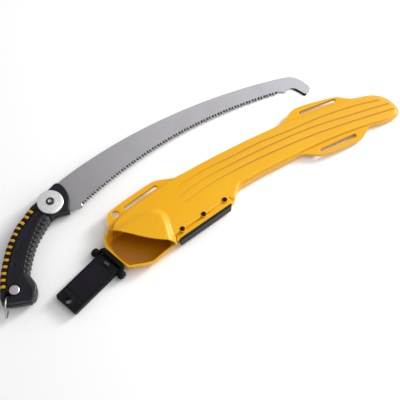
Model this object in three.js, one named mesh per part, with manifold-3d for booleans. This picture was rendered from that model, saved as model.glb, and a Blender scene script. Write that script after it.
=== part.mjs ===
// Curved pruning saw with a clamped, angle-adjustable blade, lying beside its belt scabbard.
// Millimetres, +Z up. +X runs along the scabbard towards its tip; the set lies on the plane z = 0.
// The saw and the scabbard each have a local frame whose x-y plane is their own middle plane.
import * as THREE from "three";
import { mergeVertices } from "three/addons/utils/BufferGeometryUtils.js";
import Module from "manifold-3d";

const wasm = await Module();
wasm.setup();

// ---------- driving dimensions ----------
const GAP = 0.3; // air between neighbouring pieces
const FRAME_SHIFT = [-5.87, -33.97, 0.1]; // moves the set's bottom centre to the origin

// saw
const SAW_AT = [-202.55, 89.66, 15.01]; // pivot axis at blade mid-plane
const SAW_AZ = 0.607; // degrees about +Z
const SAW_TILT = 1.809; // degrees, tip down
const BLADE_T = 1.8;
const TOOTH_PITCH = 4.97;
const TOOTH_COUNT = 74;
const TOOTH_DEPTH = 4.3;
const TANG_R = 17;
const PIVOT_R = 4; // clamp screw shank
const DISC_R = 19.5;
const CHEEK_TOP = 9; // half thickness at the head
const PANEL_TOP = 11; // half thickness of the side plates
const GRIP_TOP = 12.2; // half thickness of the rubber
const SPINE_BAND = 9.4; // width of the rubber along the handle's back
const SPINE_WINDOWS = 13;
const FINGER_RIBS = 11;
const RING_R = 15; // lanyard ring, to the wire's centre
const WIRE_R = 1.15;

// scabbard
const SCAB_AT = [-86.06, -5.07, 17.0];
const SCAB_TILT = 1.555;
const SEAM = 0.15; // half the gap between the two shells
const FLANGE_T = 2.5;
const WALL = 2.2;
const BODY_H0 = 10.5; // half thickness at the throat
const BODY_H1 = 5.6; // half thickness at the tip
const THROAT_H = 17; // half thickness of the front throat hump
const REST_H = 17.0; // depth of the flat back below the middle plane at x = 0
const REST_HUMP = 16.5; // depth of the back throat hump
const HUMP_BEVEL = 8.5;
const SLOT_W = 6;
const GROMMET_R = 5.4;

// belt hanger
const PIN_AT = [-82.15, -27.64, 8.2]; // centre of the hinge pin, relative to SCAB_AT in plan, z above the bench
const HANGER_AZ = 199.8; // degrees, direction from the pin to the free end
const HANGER_L = 87.5;
const HANGER_W = 40;
const LEAF_T = 2.3;
const BELT_GAP = 5.0;
const KNOB_R = 6.7;
const EAR_T = 2.2; // thickness of the bracket ears

// ---------- helpers ----------
function solid(geometry) {
  const g = geometry.index ? geometry.toNonIndexed() : geometry.clone();
  g.deleteAttribute("normal");
  g.deleteAttribute("uv");
  const m = mergeVertices(g, 1e-4);
  return new wasm.Manifold(
    new wasm.Mesh({
      numProp: 3,
      vertProperties: new Float32Array(m.attributes.position.array),
      triVerts: new Uint32Array(m.index.array),
    }),
  );
}
function geometryOf(s) {
  const m = s.getMesh();
  const n = m.numProp;
  const v = new Float32Array(m.numVert * 3);
  for (let i = 0; i < m.numVert; i++)
    v.set(m.vertProperties.subarray(i * n, i * n + 3), i * 3);
  const g = new THREE.BufferGeometry();
  g.setAttribute("position", new THREE.BufferAttribute(v, 3));
  g.setIndex(new THREE.BufferAttribute(new Uint32Array(m.triVerts), 1));
  g.computeVertexNormals();
  return g;
}
const shapeOf = (pts) => new THREE.Shape(pts.map(([x, y]) => new THREE.Vector2(x, y)));
function prismGeo(pts, z0, z1) {
  const g = new THREE.ExtrudeGeometry(shapeOf(pts), { depth: z1 - z0, bevelEnabled: false });
  g.translate(0, 0, z0);
  return g;
}
const prism = (pts, z0, z1) => solid(prismGeo(pts, z0, z1));
// an extrusion whose rims are rounded inwards by size (plan) and rise (height)
function puckGeo(pts, z0, z1, size, rise, segments = 3) {
  const g = new THREE.ExtrudeGeometry(shapeOf(pts), {
    depth: z1 - z0 - 2 * rise,
    bevelEnabled: true,
    bevelSize: size,
    bevelThickness: rise,
    bevelOffset: -size,
    bevelSegments: segments,
  });
  g.translate(0, 0, z0 + rise);
  return g;
}
const puck = (...a) => solid(puckGeo(...a));
function cyl(x, y, r, z0, z1, n = 28) {
  const g = new THREE.CylinderGeometry(r, r, z1 - z0, n);
  g.rotateX(Math.PI / 2);
  g.translate(x, y, (z0 + z1) / 2);
  return solid(g);
}
function lathe(profile, n = 32, x = 0, y = 0) {
  const g = new THREE.LatheGeometry(profile.map(([r, z]) => new THREE.Vector2(r, z)), n);
  g.rotateX(Math.PI / 2); // the profile's height runs along +Z
  g.translate(x, y, 0);
  const s = solid(g);
  return s.volume() < 0 ? solid(flip(g)) : s;
}
function flip(geometry) {
  const g = geometry.index ? geometry.toNonIndexed() : geometry.clone();
  const p = g.attributes.position.array;
  for (let i = 0; i < p.length; i += 9)
    for (let k = 0; k < 3; k++) [p[i + 3 + k], p[i + 6 + k]] = [p[i + 6 + k], p[i + 3 + k]];
  return g;
}
function boxAt(cx, cy, cz, lx, ly, lz, deg = 0) {
  const g = new THREE.BoxGeometry(lx, ly, lz);
  g.rotateZ((deg * Math.PI) / 180);
  g.translate(cx, cy, cz);
  return solid(g);
}
const join = (...s) => s.reduce((a, b) => a.add(b));
const cut = (a, ...b) => b.reduce((x, y) => x.subtract(y), a);
const spline = (pts, n) =>
  new THREE.CatmullRomCurve3(pts.map(([x, y]) => new THREE.Vector3(x, y, 0)), false, "centripetal")
    .getSpacedPoints(n)
    .map((p) => [p.x, p.y]);
// moves a path sideways; positive is to the left of its direction
function offset(pts, d) {
  return pts.map((p, i) => {
    const a = pts[Math.max(0, i - 1)];
    const b = pts[Math.min(pts.length - 1, i + 1)];
    const l = Math.hypot(b[0] - a[0], b[1] - a[1]);
    return [p[0] - ((b[1] - a[1]) / l) * d, p[1] + ((b[0] - a[0]) / l) * d];
  });
}
// closed outline drawn in by d all round (negative d lets it out)
function inset(pts, d) {
  let area = 0;
  pts.forEach((p, i) => {
    const q = pts[(i + 1) % pts.length];
    area += p[0] * q[1] - q[0] * p[1];
  });
  return offset([pts[pts.length - 1], ...pts, pts[0]], area > 0 ? d : -d).slice(1, -1);
}
// point and direction at a distance along a path
function along(pts, s) {
  for (let i = 1; i < pts.length; i++) {
    const dx = pts[i][0] - pts[i - 1][0];
    const dy = pts[i][1] - pts[i - 1][1];
    const l = Math.hypot(dx, dy);
    if (s <= l || i === pts.length - 1)
      return { x: pts[i - 1][0] + (dx / l) * s, y: pts[i - 1][1] + (dy / l) * s, a: (Math.atan2(dy, dx) * 180) / Math.PI };
    s -= l;
  }
}
const lengthOf = (pts) => pts.slice(1).reduce((s, p, i) => s + Math.hypot(p[0] - pts[i][0], p[1] - pts[i][1]), 0);
const mirror = (s) => s.mirror([0, 0, 1]);
const material = (color, roughness, metalness) => new THREE.MeshStandardMaterial({ color, roughness, metalness });

const STEEL = material(0xa9a8ac, 0.35, 0.9);
const SILVER = material(0xd5d5d3, 0.45, 0.8);
const BODY = material(0x2d2b33, 0.5, 0);
const RUBBER = material(0x1d1c20, 0.75, 0);
const YELLOW = material(0xe8ae12, 0.45, 0);
const BLACK = material(0x1b1b1e, 0.5, 0);

const root = new THREE.Group();
const saw = new THREE.Group();
const scabbard = new THREE.Group();
const hanger = new THREE.Group();
root.add(saw, scabbard, hanger);
function place(group, name, s, mat) {
  const mesh = new THREE.Mesh(geometryOf(s), mat);
  mesh.name = name;
  group.add(mesh);
  return mesh;
}
const rad = (d) => (d * Math.PI) / 180;
saw.rotation.set(0, rad(SAW_TILT), rad(SAW_AZ), "ZYX");
saw.position.set(SAW_AT[0] + FRAME_SHIFT[0], SAW_AT[1] + FRAME_SHIFT[1], SAW_AT[2] + FRAME_SHIFT[2]);
scabbard.rotation.set(0, rad(SCAB_TILT), 0, "ZYX");
scabbard.position.set(SCAB_AT[0] + FRAME_SHIFT[0], SCAB_AT[1] + FRAME_SHIFT[1], SCAB_AT[2] + FRAME_SHIFT[2]);
hanger.rotation.set(0, 0, rad(HANGER_AZ), "ZYX");
hanger.position.set(
  SCAB_AT[0] + PIN_AT[0] + FRAME_SHIFT[0],
  SCAB_AT[1] + PIN_AT[1] + FRAME_SHIFT[1],
  PIN_AT[2] + FRAME_SHIFT[2],
);

// ================= SAW =================
// ---------- blade: back, hook and toothed edge ----------
const toothLine = (x) => 1.0494e-9 * x ** 4 - 8.909e-7 * x ** 3 - 4.7434e-4 * x ** 2 + 0.391043 * x - 38.162;
const toothSlope = (x) => 4.1976e-9 * x ** 3 - 2.6727e-6 * x ** 2 - 9.4868e-4 * x + 0.391043;
const bladeOutline = [];
for (let a = 100; a <= 262; a += 13.5) bladeOutline.push([TANG_R * Math.cos(rad(a)), TANG_R * Math.sin(rad(a))]);
bladeOutline.push([20.3, -19.4], [35.4, -25.5], [39.2, -24.7]);
let toothX = 41;
for (let k = 0; k < TOOTH_COUNT; k++) {
  // each tooth leans towards the handle: tip first, then the bottom of the gullet behind it
  const m = toothSlope(toothX);
  const c = 1 / Math.hypot(1, m);
  bladeOutline.push([toothX, toothLine(toothX)]);
  const gx = toothX + 0.56 * TOOTH_PITCH * c;
  bladeOutline.push([gx - m * c * TOOTH_DEPTH, toothLine(gx) + c * TOOTH_DEPTH]);
  toothX += TOOTH_PITCH * c;
}
bladeOutline.push([412.4, 9.6], [416.5, 12.6], [423.4, 12.4], [427.2, 6.2], [431.4, -1.9], [434.6, -8.5]);
bladeOutline.push([436, -9.8], [438.5, -9.6], [442.7, -8], [446.8, -5.6], [449.6, -2.2], [450.2, 1.5], [448.9, 8], [444.6, 18.6], [438.4, 26.9], [431, 32.2]);
bladeOutline.push(
  ...spline(
    [[426, 33.9], [411, 37.6], [391.1, 41.6], [371.2, 45], [351.2, 47.9], [320.3, 51.6], [289.2, 54.2], [258.1, 55.6], [226.3, 55.9], [194.4, 55.1], [162.2, 53.1], [129.7, 49.8], [96.8, 45], [63.5, 39], [29.4, 30.6], [12, 25]],
    28,
  ),
);
const blade = cut(prism(bladeOutline, -BLADE_T / 2, BLADE_T / 2), cyl(0, 0, PIVOT_R + GAP, -2, 2, 32));
place(saw, "blade", blade, STEEL);

// ---------- handle outline ----------
const spinePath = spline(
  [[-26.6, 7.5], [-33, 3.9], [-40.8, -0.6], [-50.4, -6.7], [-60.2, -12], [-68.1, -18.6], [-76, -26], [-84.2, -34.2], [-91, -41.8], [-97, -49.8], [-103, -58.2], [-109.2, -67.5], [-114.4, -76], [-119.4, -85.6], [-123, -94]],
  18,
);
const fingerPath = spline(
  [[-10.5, -22.6], [-13.6, -24.4], [-21, -29.8], [-30.3, -36.6], [-37.6, -42], [-43.6, -47.4], [-49.6, -53.4], [-54.6, -59.4], [-60.2, -66.4], [-64.9, -72.9], [-69.4, -79.5], [-73.4, -85.8], [-75.2, -91], [-74.8, -97.8], [-73.6, -105], [-73.4, -111], [-75.4, -116.8], [-79.6, -122.6], [-83.2, -126.4]],
  21,
);
const headPart = [
  [14.9, -23], [19.2, -24.2], [20.8, -20.4], [24.6, -12.9], [28.2, -5.4], [29.7, 1.5], [29.8, 8.4], [28.9, 16.6], [26.6, 22.8], [22.4, 26.6], [18.4, 26.8], [10.6, 23.6], [2.5, 20.3], [-6, 17.2], [-14.6, 13], [-21.4, 9.9],
];
const buttPart = [[-125.6, -100.6], [-127.8, -106.6], [-127.2, -112.4], [-121.6, -116.6], [-111, -120.8], [-98.4, -125.2], [-90.6, -128.2], [-86.6, -128.8]];
const handleOutline = [...headPart, ...spinePath, ...buttPart, ...[...fingerPath].reverse(), [-7.2, -21.5], [-0.2, -20.6], [7.7, -21.2]];
// inner borders of the two rubber zones
const spineInner = offset(spinePath, SPINE_BAND);
const fingerInner = spline(
  [[-17.4, -13.8], [-26.2, -18.6], [-40, -30.2], [-52.6, -42.8], [-65.6, -57.6], [-75, -70.6], [-83.6, -85.6], [-84.6, -99.4], [-82.6, -111.5], [-88.6, -126.6]],
  16,
);
const spineZone = [...offset(spinePath, -4), ...offset(spinePath, SPINE_BAND).reverse()];
const fingerZone = [[-9.5, -18.6], [-17.4, -13.8], ...fingerInner.slice(1), [-90.4, -134], [-76, -134], ...offset(fingerPath, 4).reverse().slice(1), [-6, -27]];

// ---------- side plates with the head cheeks ----------
const platePuck = puck(handleOutline, -PANEL_TOP, PANEL_TOP, 2.4, 2.4, 2);
const headLow = join(cyl(0, 0, 24.5, CHEEK_TOP, 30, 44), boxAt(22, 3, CHEEK_TOP + 10, 44, 62, 20));
const spineClear = prism([...offset(spinePath, -6), ...offset(spinePath, SPINE_BAND + GAP).reverse()], -30, 30);
const fingerClear = prism(inset(fingerZone, -GAP), -30, 30);
// flared lanyard hole: wide at the faces, so the round wire can swing
const HOLE = [-124.48 + 0.4829 * RING_R, -118.73 + 0.8757 * RING_R];
const hornR = (h) => RING_R - Math.sqrt(Math.max(0, RING_R ** 2 - h ** 2)) + WIRE_R + 0.8;
const hornProfile = [[0, -13.2]];
for (let h = -13.2; h <= 13.21; h += 2.2) hornProfile.push([hornR(h), h]);
hornProfile.push([0, 13.2]);
const horn = lathe(hornProfile, 20, HOLE[0], HOLE[1]);
const pinsAt = [[-24.6, -11.9], [-70.4, -47.3], [-88.6, -68.2]];
const boltAt = [-104.6, -103.6];
let plateFront = cut(platePuck, headLow, boxAt(-40, -40, -49 + 1.2, 400, 400, 98), spineClear, fingerClear, horn);
plateFront = cut(plateFront, cyl(0, 0, PIVOT_R + GAP, 0, 30), cyl(0, 0, 12.6, 7.3, 30, 36));
plateFront = cut(plateFront, cyl(...boltAt, 3.3, 0, 30, 24), cyl(...boltAt, 8.6, 8.6, 30, 36));
for (const p of pinsAt) plateFront = cut(plateFront, cyl(...p, 1.5 + GAP, 0, 30, 16));
place(saw, "side_plate_front", plateFront, BODY);
let plateBack = cut(mirror(cut(platePuck, headLow, boxAt(-40, -40, -49 + 1.2, 400, 400, 98))), spineClear, fingerClear, horn);
plateBack = cut(plateBack, cyl(0, 0, PIVOT_R + GAP, -30, 0));
plateBack = cut(plateBack, cyl(...boltAt, 3.3, -30, 0, 24), cyl(...boltAt, 8.6, -30, -8.6, 36));
for (const p of pinsAt) plateBack = cut(plateBack, cyl(...p, 1.5 + GAP, -30, 0, 16));
place(saw, "side_plate_back", plateBack, BODY);

// ---------- metal core behind the blade ----------
const coreOutline = [...spineInner.slice(1), [-119, -98.5], [-123.8, -106.8], [-118.6, -113.6], [-98.8, -121.4], [-90.4, -124], ...offset(fingerInner, 0).reverse().slice(1, -1), [-20, -16]];
let core = prism(inset(coreOutline, 0.6), -BLADE_T / 2, BLADE_T / 2);
core = cut(core, cyl(0, 0, TANG_R + 0.8, -3, 3, 40), horn, spineClear, fingerClear, cyl(...boltAt, 3.3, -3, 3, 24));
for (const p of pinsAt) core = cut(core, cyl(...p, 1.5 + GAP, -3, 3, 16));
place(saw, "handle_core", core, SILVER);

// ---------- yellow strip and the black ribs over it ----------
const gripPuck = puck(handleOutline, -GRIP_TOP, GRIP_TOP, 3.6, 3.6, 2);
const spineL = lengthOf(spinePath);
const windowPitch = (spineL - 13.2) / (SPINE_WINDOWS - 1);
function spineStrip(margin) {
  // backbone inside the rubber, and one tongue for each window
  let s = prism([...offset(spinePath, 1.6 - margin), ...offset(spinePath, 6.4 + margin).reverse()], -4 - margin, 4 + margin);
  for (let i = 0; i < SPINE_WINDOWS; i++) {
    const at = along(spinePath, 9.2 + windowPitch * i);
    s = s.add(boxAt(at.x - Math.sin(rad(at.a)) * 3.5, at.y + Math.cos(rad(at.a)) * 3.5, 0, 4.6 + 2 * margin, 5.8 + 2 * margin, 2 * (GRIP_TOP - 0.8) + 2 * margin, at.a));
  }
  return s;
}
const insert = spineStrip(0).intersect(puck(inset(handleOutline, 0.7), -(GRIP_TOP - 0.7), GRIP_TOP - 0.7, 3.6, 3.6, 2));
const windows = (() => {
  let s = spineStrip(GAP);
  for (let i = 0; i < SPINE_WINDOWS; i++) {
    const at = along(spinePath, 9.2 + windowPitch * i);
    s = s.add(boxAt(at.x - Math.sin(rad(at.a)) * 1.5, at.y + Math.cos(rad(at.a)) * 1.5, 0, 4.6 + 2 * GAP, 10.4 + 2 * GAP, 60, at.a));
  }
  return s;
})();
place(saw, "spine_insert", insert, YELLOW);
place(saw, "spine_grip", cut(gripPuck.intersect(prism(spineZone, -30, 30)), windows), RUBBER);

// ---------- ribbed rubber on the finger side ----------
let finger = gripPuck.intersect(prism(fingerZone, -30, 30));
const fingerEdge = fingerPath;
for (let i = 0; i <= FINGER_RIBS; i++) {
  const at = along(fingerEdge, 9 + i * 7.45);
  finger = cut(
    finger,
    boxAt(at.x, at.y, 0, 1.7, 2.6, 60, at.a),
    boxAt(at.x - Math.sin(rad(at.a)) * 4, at.y + Math.cos(rad(at.a)) * -4 + 0, GRIP_TOP, 1.7, 14, 1.6, at.a),
    boxAt(at.x - Math.sin(rad(at.a)) * 4, at.y + Math.cos(rad(at.a)) * -4 + 0, -GRIP_TOP, 1.7, 14, 1.6, at.a),
  );
}
place(saw, "finger_grip", finger, RUBBER);

// ---------- clamp: washer, disc, screw and nut ----------
place(saw, "spring_washer", lathe([[4.5, 7.6], [12, 7.6], [12, 8.9], [4.5, 8.9], [4.5, 7.6]], 28), STEEL);
const disc = lathe([[PIVOT_R + GAP, 9.3], [18.6, 9.3], [DISC_R, 10], [DISC_R, 11.6], [18.4, 12.5], [14, 13.2], [9, 13.7], [6.3, 13.8], [6.3, 11.9], [PIVOT_R + GAP, 11.9], [PIVOT_R + GAP, 9.3]], 36);
place(saw, "clamp_disc", disc, SILVER);
const socket = (() => {
  const pts = [];
  for (let i = 0; i < 6; i++) pts.push([2.9 * Math.cos(rad(60 * i)), 2.9 * Math.sin(rad(60 * i))]);
  return prism(pts, 12.9, 20);
})();
const screw = cut(lathe([[0, -8.8], [PIVOT_R, -8.8], [PIVOT_R, 12.2], [5.8, 12.2], [5.8, 14.6], [5.2, 15.1], [0, 15.1]], 30), socket);
place(saw, "clamp_screw", screw, SILVER);
place(saw, "clamp_nut", lathe([[0, -14.4], [8.6, -14.4], [9.6, -13.4], [9.6, -9.3], [PIVOT_R + 1.6, -9.3], [PIVOT_R + 1.6, -9.15], [0, -9.15]], 30), SILVER);

// ---------- rear bolt and nut ----------
const rearBolt = cut(
  lathe([[0, -8.2], [3, -8.2], [3, 8.9], [7.4, 8.9], [7.4, 10.8], [6.4, 11.5], [0, 11.9]], 32, ...boltAt),
  boxAt(...boltAt, 12, 18, 1.3, 2, 25),
);
place(saw, "rear_bolt", rearBolt, SILVER);
place(saw, "rear_nut", lathe([[0, -11.4], [6.2, -11.4], [7.4, -10.6], [7.4, -8.9], [3, -8.9], [3, -8.5], [0, -8.5]], 24, ...boltAt), SILVER);

// ---------- pins through the plates ----------
pinsAt.forEach((p, i) => place(saw, `handle_pin_${i + 1}`, cyl(...p, 1.5, -PANEL_TOP + 0.2, PANEL_TOP - 0.2, 14), BLACK));

// ---------- lanyard ring ----------
const ring = (() => {
  const g = new THREE.TorusGeometry(RING_R, WIRE_R, 8, 28);
  g.rotateX(Math.PI / 2); // now in the local x-z plane
  g.rotateZ(Math.atan2(0.8757, 0.4829));
  g.translate(-124.48, -118.73, 0);
  return solid(g);
})();
place(saw, "lanyard_ring", ring, SILVER);

// ================= SCABBARD =================
// rim of the flange, the same on both shells as far as the mouth
const rimTop = [
  [-61.9, 13.3], [-59.4, 18.4], [-56.6, 25], [-54.2, 31.2], [-51.6, 36.4], [-47.4, 40.4], [-41.1, 42.8], [-27, 46.3], [-15, 48.9], [-3.8, 51.1], [7.1, 53.1], [18.2, 55.1], [29.1, 56.6], [38, 56.6], [47, 54.2], [56.5, 50.9], [65, 48.4],
  [75, 48], [86, 48.9], [97, 50], [118, 51.7], [140, 53.2], [162, 54.2], [183, 55], [205, 55.5], [226, 55.7], [244, 55.6], [252, 56], [259, 58], [266, 61.4], [274, 65.8], [281, 69.2], [288, 70.9], [298.2, 70.6], [308.8, 69.4], [331.8, 65.4], [352, 61.4], [358.5, 59.2], [364, 55.4], [369.5, 50.8], [375, 47.4], [381, 45],
];
const rimTip = [[388, 43], [399, 40.2], [409.9, 36.2], [419.4, 29.4], [426.2, 20.6], [430.4, 10], [431.8, -1], [429.8, -8.4], [423.6, -13.6], [412.6, -15], [401, -14.6], [392, -13.3]];
const rimLow = [
  [382, -11], [375.6, -10.6], [371, -12.4], [365.6, -16], [359, -20.4], [352, -23.2], [340, -24.2], [322.3, -24.4], [304.9, -23.4], [290, -21.6], [281.4, -19.2], [274, -14.6], [266.4, -9.6], [260, -6.2], [252, -4.4],
  [235, -5], [218, -5.3], [200, -6], [182, -6.8], [164, -8.3], [147, -9.8], [141, -12.2], [135.4, -17.6], [127, -26.3], [121.5, -30.6],
];
const ledgeLine = [[24.5, -47.6], [119.3, -31.2]];
const rimMouthBack = [[19, -49.6], [1.8, -53.8], [-13.6, -58.2], [-22.9, -60.6], [-28, -60.4], [-37.8, -58.2], [-51.6, -53.6], [-57, -51.8], [-61, -50], [-75.2, -3.6], [-72.6, 2.1], [-71, 8.4], [-67.6, 12.2]];
const rimMouthFront = [[19, -49.6], [2, -56], [-20, -64], [-64, -56], [-80, -4], [-70, 9], [-64, 11]];
const flangeBack = [...rimTop, ...rimTip, ...rimLow, ledgeLine[1], ledgeLine[0], ...rimMouthBack];
const flangeFront = [...rimTop, ...rimTip, ...rimLow, ledgeLine[1], ledgeLine[0], ...rimMouthFront];

// raised channel
const channelTop = [[-50, 18], [-38, 23.6], [-24.7, 27.8], [-10, 31.2], [5, 34.4], [20, 37.5], [34.4, 40.4], [50, 43.6], [65, 46], [75, 46.5], [86, 47.3], [97, 48.4], [118, 50.1], [140, 51.6], [162, 52.6], [183, 53.4], [205, 53.9], [226, 54], [247, 53.8], [268, 53.4], [290, 52.6], [310, 51.4], [331, 49.8], [353, 47.4], [369, 45]];
const channelTip = [[378, 43.2], [388, 40.9], [398.4, 37.8], [408.4, 33.6], [417.2, 27], [423.8, 18.8], [427.8, 9], [429.2, -1], [427.4, -7], [421.6, -11.6], [412, -13], [401, -12.6], [392, -11.5]];
const channelLow = [[377, -8.8], [358, -6.6], [340, -5], [324, -4], [306, -3.2], [289, -2.8], [271, -2.7], [253, -2.8], [235, -3.4], [218, -3.8], [200, -4.5], [182, -5.3], [164, -6.8], [148, -8.4], [142.4, -10.9], [136.6, -16.8], [128.2, -25.4], [122.5, -29.4]];
const LEDGE_W = 8;
const ledgeIn = offset([[14, -49.4], ...ledgeLine.slice(0, 0), [24.5, -47.6], [119.3, -31.2], [128, -29.7]], LEDGE_W); // step line of the ledge
const channel = [...channelTop, ...channelTip, ...channelLow.slice(0, -1), [121.5, -25.2], [120, -22.9 - 0.0], ledgeIn[1], [16, -41.2], [-4, -44], [-40, -44], [-64, -30], [-66, 0]];
function channelSolid(pts, top, size, segs) {
  const g = puckGeo(pts, -top, top, size, size, segs);
  const p = g.attributes.position;
  for (let i = 0; i < p.count; i++) p.setZ(i, p.getZ(i) * taperAll(p.getX(i)));
  return solid(g);
}
// one straight taper over the whole length keeps the faces flat
const taperAll = (x) => 1 - ((Math.max(x, -100) - 60) / 370) * (1 - BODY_H1 / BODY_H0);
const everySecond = (pts) => pts.filter((p, i) => i % 2 === 0);
const outerChannel = channelSolid(channel, BODY_H0, 2.8, 3);
const innerChannel = channelSolid(everySecond(inset(channel, WALL)), BODY_H0 - WALL, 1.6, 1);
// the back half is deeper: its flat face lies in one plane with the throat's, tilted to the middle plane
const channelBack = inset(channel, -1.3);
const restScale = (x) => (REST_H - x * Math.tan(rad(SCAB_TILT))) / REST_H;
function backSolid(pts, top, size, rise, segs) {
  const g = puckGeo(pts, -top, top, size, rise, segs);
  const p = g.attributes.position;
  for (let i = 0; i < p.count; i++) p.setZ(i, p.getZ(i) * restScale(p.getX(i)));
  return solid(g);
}
const outerBack = backSolid(channelBack, REST_H, 2.2, 4, 2);
const innerBack = backSolid(everySecond(inset(channelBack, WALL)), REST_H - WALL * 1.2, 1.4, 2, 1);

// throat humps
const humpFront = [[26.7, -12.3], [26.9, -3], [24, 4.2], [18.5, 10.2], [10.5, 14.3], [1.6, 15.9], [-12, 16], [-25, 15.6], [-41.8, 14.2], [-58, 11.6], [-74, 8], [-74, -60], [13, -62], [18.2, -47.7], [22, -33.8], [24.9, -22.4]];
const humpBack = [[26.7, -12.3], [26.9, -3], [24, 4.2], [18.5, 10.2], [10.5, 14.3], [1.6, 15.9], [-12, 16], [-25, 15.6], [-41.8, 14.2], [-58, 12], [-68.2, 9.4], [-70.6, 2.1], [-73.2, -4], [-59.6, -48.6], [-51, -51.8], [-37.6, -56.3], [-27.8, -58.6], [-23, -58.8], [-14, -56.4], [1.6, -52], [17.4, -47.8], [22, -33.8], [24.9, -22.4]];
const outerHumpF = puck(humpFront, -THROAT_H, THROAT_H, HUMP_BEVEL, HUMP_BEVEL, 4);
const innerHumpF = puck(inset(humpFront, WALL), -THROAT_H + WALL, THROAT_H - WALL, HUMP_BEVEL, HUMP_BEVEL, 3);
const outerHumpB = puck(humpBack, -REST_HUMP, REST_HUMP, HUMP_BEVEL, HUMP_BEVEL + 1, 3);
const innerHumpB = puck(inset(humpBack, WALL), -REST_HUMP + WALL, REST_HUMP - WALL, HUMP_BEVEL, HUMP_BEVEL + 1, 3);

// ledge that carries the tooth guard
const ledgePts = [[24.5, -47.6], [119.3, -31.2], [122.4, -28.6], [121, -20.4], ...[ledgeIn[1]].map(([x, y]) => [x - 0.5, y + 2.5]), [18.4, -44.6], [19, -48.5]];
const guardBoxFar = offset([[24.5, -47.6], [119.3, -31.2]], -4);
const guardIn = offset([[24.5, -47.6], [119.3, -31.2]], 15.2);
const guardClear = prism([[guardBoxFar[0][0] - 0.5, guardBoxFar[0][1]], [guardBoxFar[1][0] - 2, guardBoxFar[1][1]], [guardIn[1][0] - 2.6, guardIn[1][1]], [guardIn[0][0] + 2.4, guardIn[0][1]]], -5.6, 5.6);

// cutters shared by both shells
function slotAt(a, b) {
  const l = Math.hypot(b[0] - a[0], b[1] - a[1]);
  const deg = (Math.atan2(b[1] - a[1], b[0] - a[0]) * 180) / Math.PI;
  return join(boxAt((a[0] + b[0]) / 2, (a[1] + b[1]) / 2, 0, l, SLOT_W, 60, deg), cyl(...a, SLOT_W / 2, -30, 30, 16), cyl(...b, SLOT_W / 2, -30, 30, 16));
}
const slots = join(slotAt([-22.4, 36.3], [32.4, 47.2]), slotAt([293, 60], [350.6, 55.9]), slotAt([288, -12.6], [345.6, -13.6]), cyl(-39.6, 33.9, GROMMET_R, -30, 30, 26));
const rivetsAt = [[34.4, -36.6], [73.3, -29.8], [112.2, -23]];
const rivetHoles = rivetsAt.map((p) => cyl(...p, 2.2 + GAP, -30, 30, 18));
const rivetSinks = rivetsAt.map((p) => cyl(...p, 3.8 + GAP, 10.7, 30, 20));
const mouthEdge = [[-90, 17], [-62, 13.4], [-58.2, 9.6], [-48.5, -0.4], [-37.5, -10.2], [-26.5, -20.4], [-15.2, -30], [-3.3, -38.6], [9, -46], [16.4, -50.8], [22, -58]];
const mouthCut = prism([...mouthEdge, [20, -90], [-120, -90]], -40, 40);
const above = boxAt(150, 0, 50 + SEAM, 900, 400, 100);
const lip = SEAM + FLANGE_T;

let front = join(prism(flangeFront, SEAM, lip), outerChannel.intersect(above), outerHumpF.intersect(above), prism(ledgePts, SEAM, 8));
front = cut(front, innerChannel, innerHumpF, guardClear, mouthCut, slots, ...rivetHoles, boxAt(150, 0, -50 + SEAM, 900, 400, 100));
place(scabbard, "scabbard_front_shell", front, YELLOW);

let backUp = join(prism(flangeBack, SEAM, lip), outerBack.intersect(above), outerHumpB.intersect(above), prism(ledgePts, SEAM, 8));
backUp = cut(backUp, innerBack, innerHumpB, guardClear, slots, ...rivetHoles, ...rivetSinks, boxAt(150, 0, -50 + SEAM, 900, 400, 100));
place(scabbard, "scabbard_back_shell", mirror(backUp), YELLOW);

// ---------- tooth guard block and its rivets ----------
const gEdge = [[24.5, -47.6], [119.3, -31.2]];
const gOut = offset(gEdge, -3.9);
const gLip = offset(gEdge, -GAP);
const gIn = offset(gEdge, 14.8);
let guard = join(
  prism([[gOut[0][0] + 0.6, gOut[0][1]], [gOut[1][0] - 2.6, gOut[1][1]], [gLip[1][0] - 0.3, gLip[1][1]], [gLip[0][0] + 0.2, gLip[0][1]]], -9.3, 7.6),
  prism([[gOut[0][0] + 1.4, gOut[0][1] + 1.4], [gOut[1][0] - 3.4, gOut[1][1] + 1.4], [gIn[1][0] - 3.2, gIn[1][1]], [gIn[0][0] + 3, gIn[0][1]]], -5.3, 5.3),
);
guard = cut(guard, ...rivetHoles);
place(scabbard, "tooth_guard", guard, BLACK);
rivetsAt.forEach((p, i) => {
  place(scabbard, `guard_rivet_${i + 1}`, lathe([[0, -12.4], [3.8, -11.6], [3.8, -11.1], [2.2, -11.1], [2.2, 11.1], [3.8, 11.1], [3.8, 11.6], [0, 12.4]], 16, ...p), BLACK);
});

// ================= BELT HANGER =================
// local x runs from the pin to the free end, y along the pin, z up; the origin is the pin's centre
const T2 = BELT_GAP / 2 + LEAF_T;
const hangerHole = cyl(HANGER_L - 7.7, -0.7, 5, -20, 20, 24);
const W2 = HANGER_W / 2;
let leaf = join(
  puck([[2, -W2], [HANGER_L - 3, -W2], [HANGER_L, -W2 + 3], [HANGER_L, W2 - 3], [HANGER_L - 3, W2], [2, W2]], -T2, T2, 0.6, 0.6, 1),
);
const slotCut = boxAt((7 + HANGER_L - 22) / 2, 0, 0, HANGER_L - 22 - 7, 90, BELT_GAP);
leaf = cut(leaf, slotCut);
const barrelR = 5.2;
const barrel = (() => {
  const g = new THREE.CylinderGeometry(barrelR, barrelR, HANGER_W - 0.8, 28);
  return solid(g);
})();
const pinHole = (r) => {
  const g = new THREE.CylinderGeometry(r, r, 140, 24);
  return solid(g);
};
const catchAt = [2.8, -0.5]; // centre of the sliding catch, beside the hinge
const CATCH = [4.4, 8.8]; // along the hanger, across it
const CATCH_TRAVEL = 2.4;
leaf = cut(leaf, boxAt(-3, 0, 0, 10, 90, 30));
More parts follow.
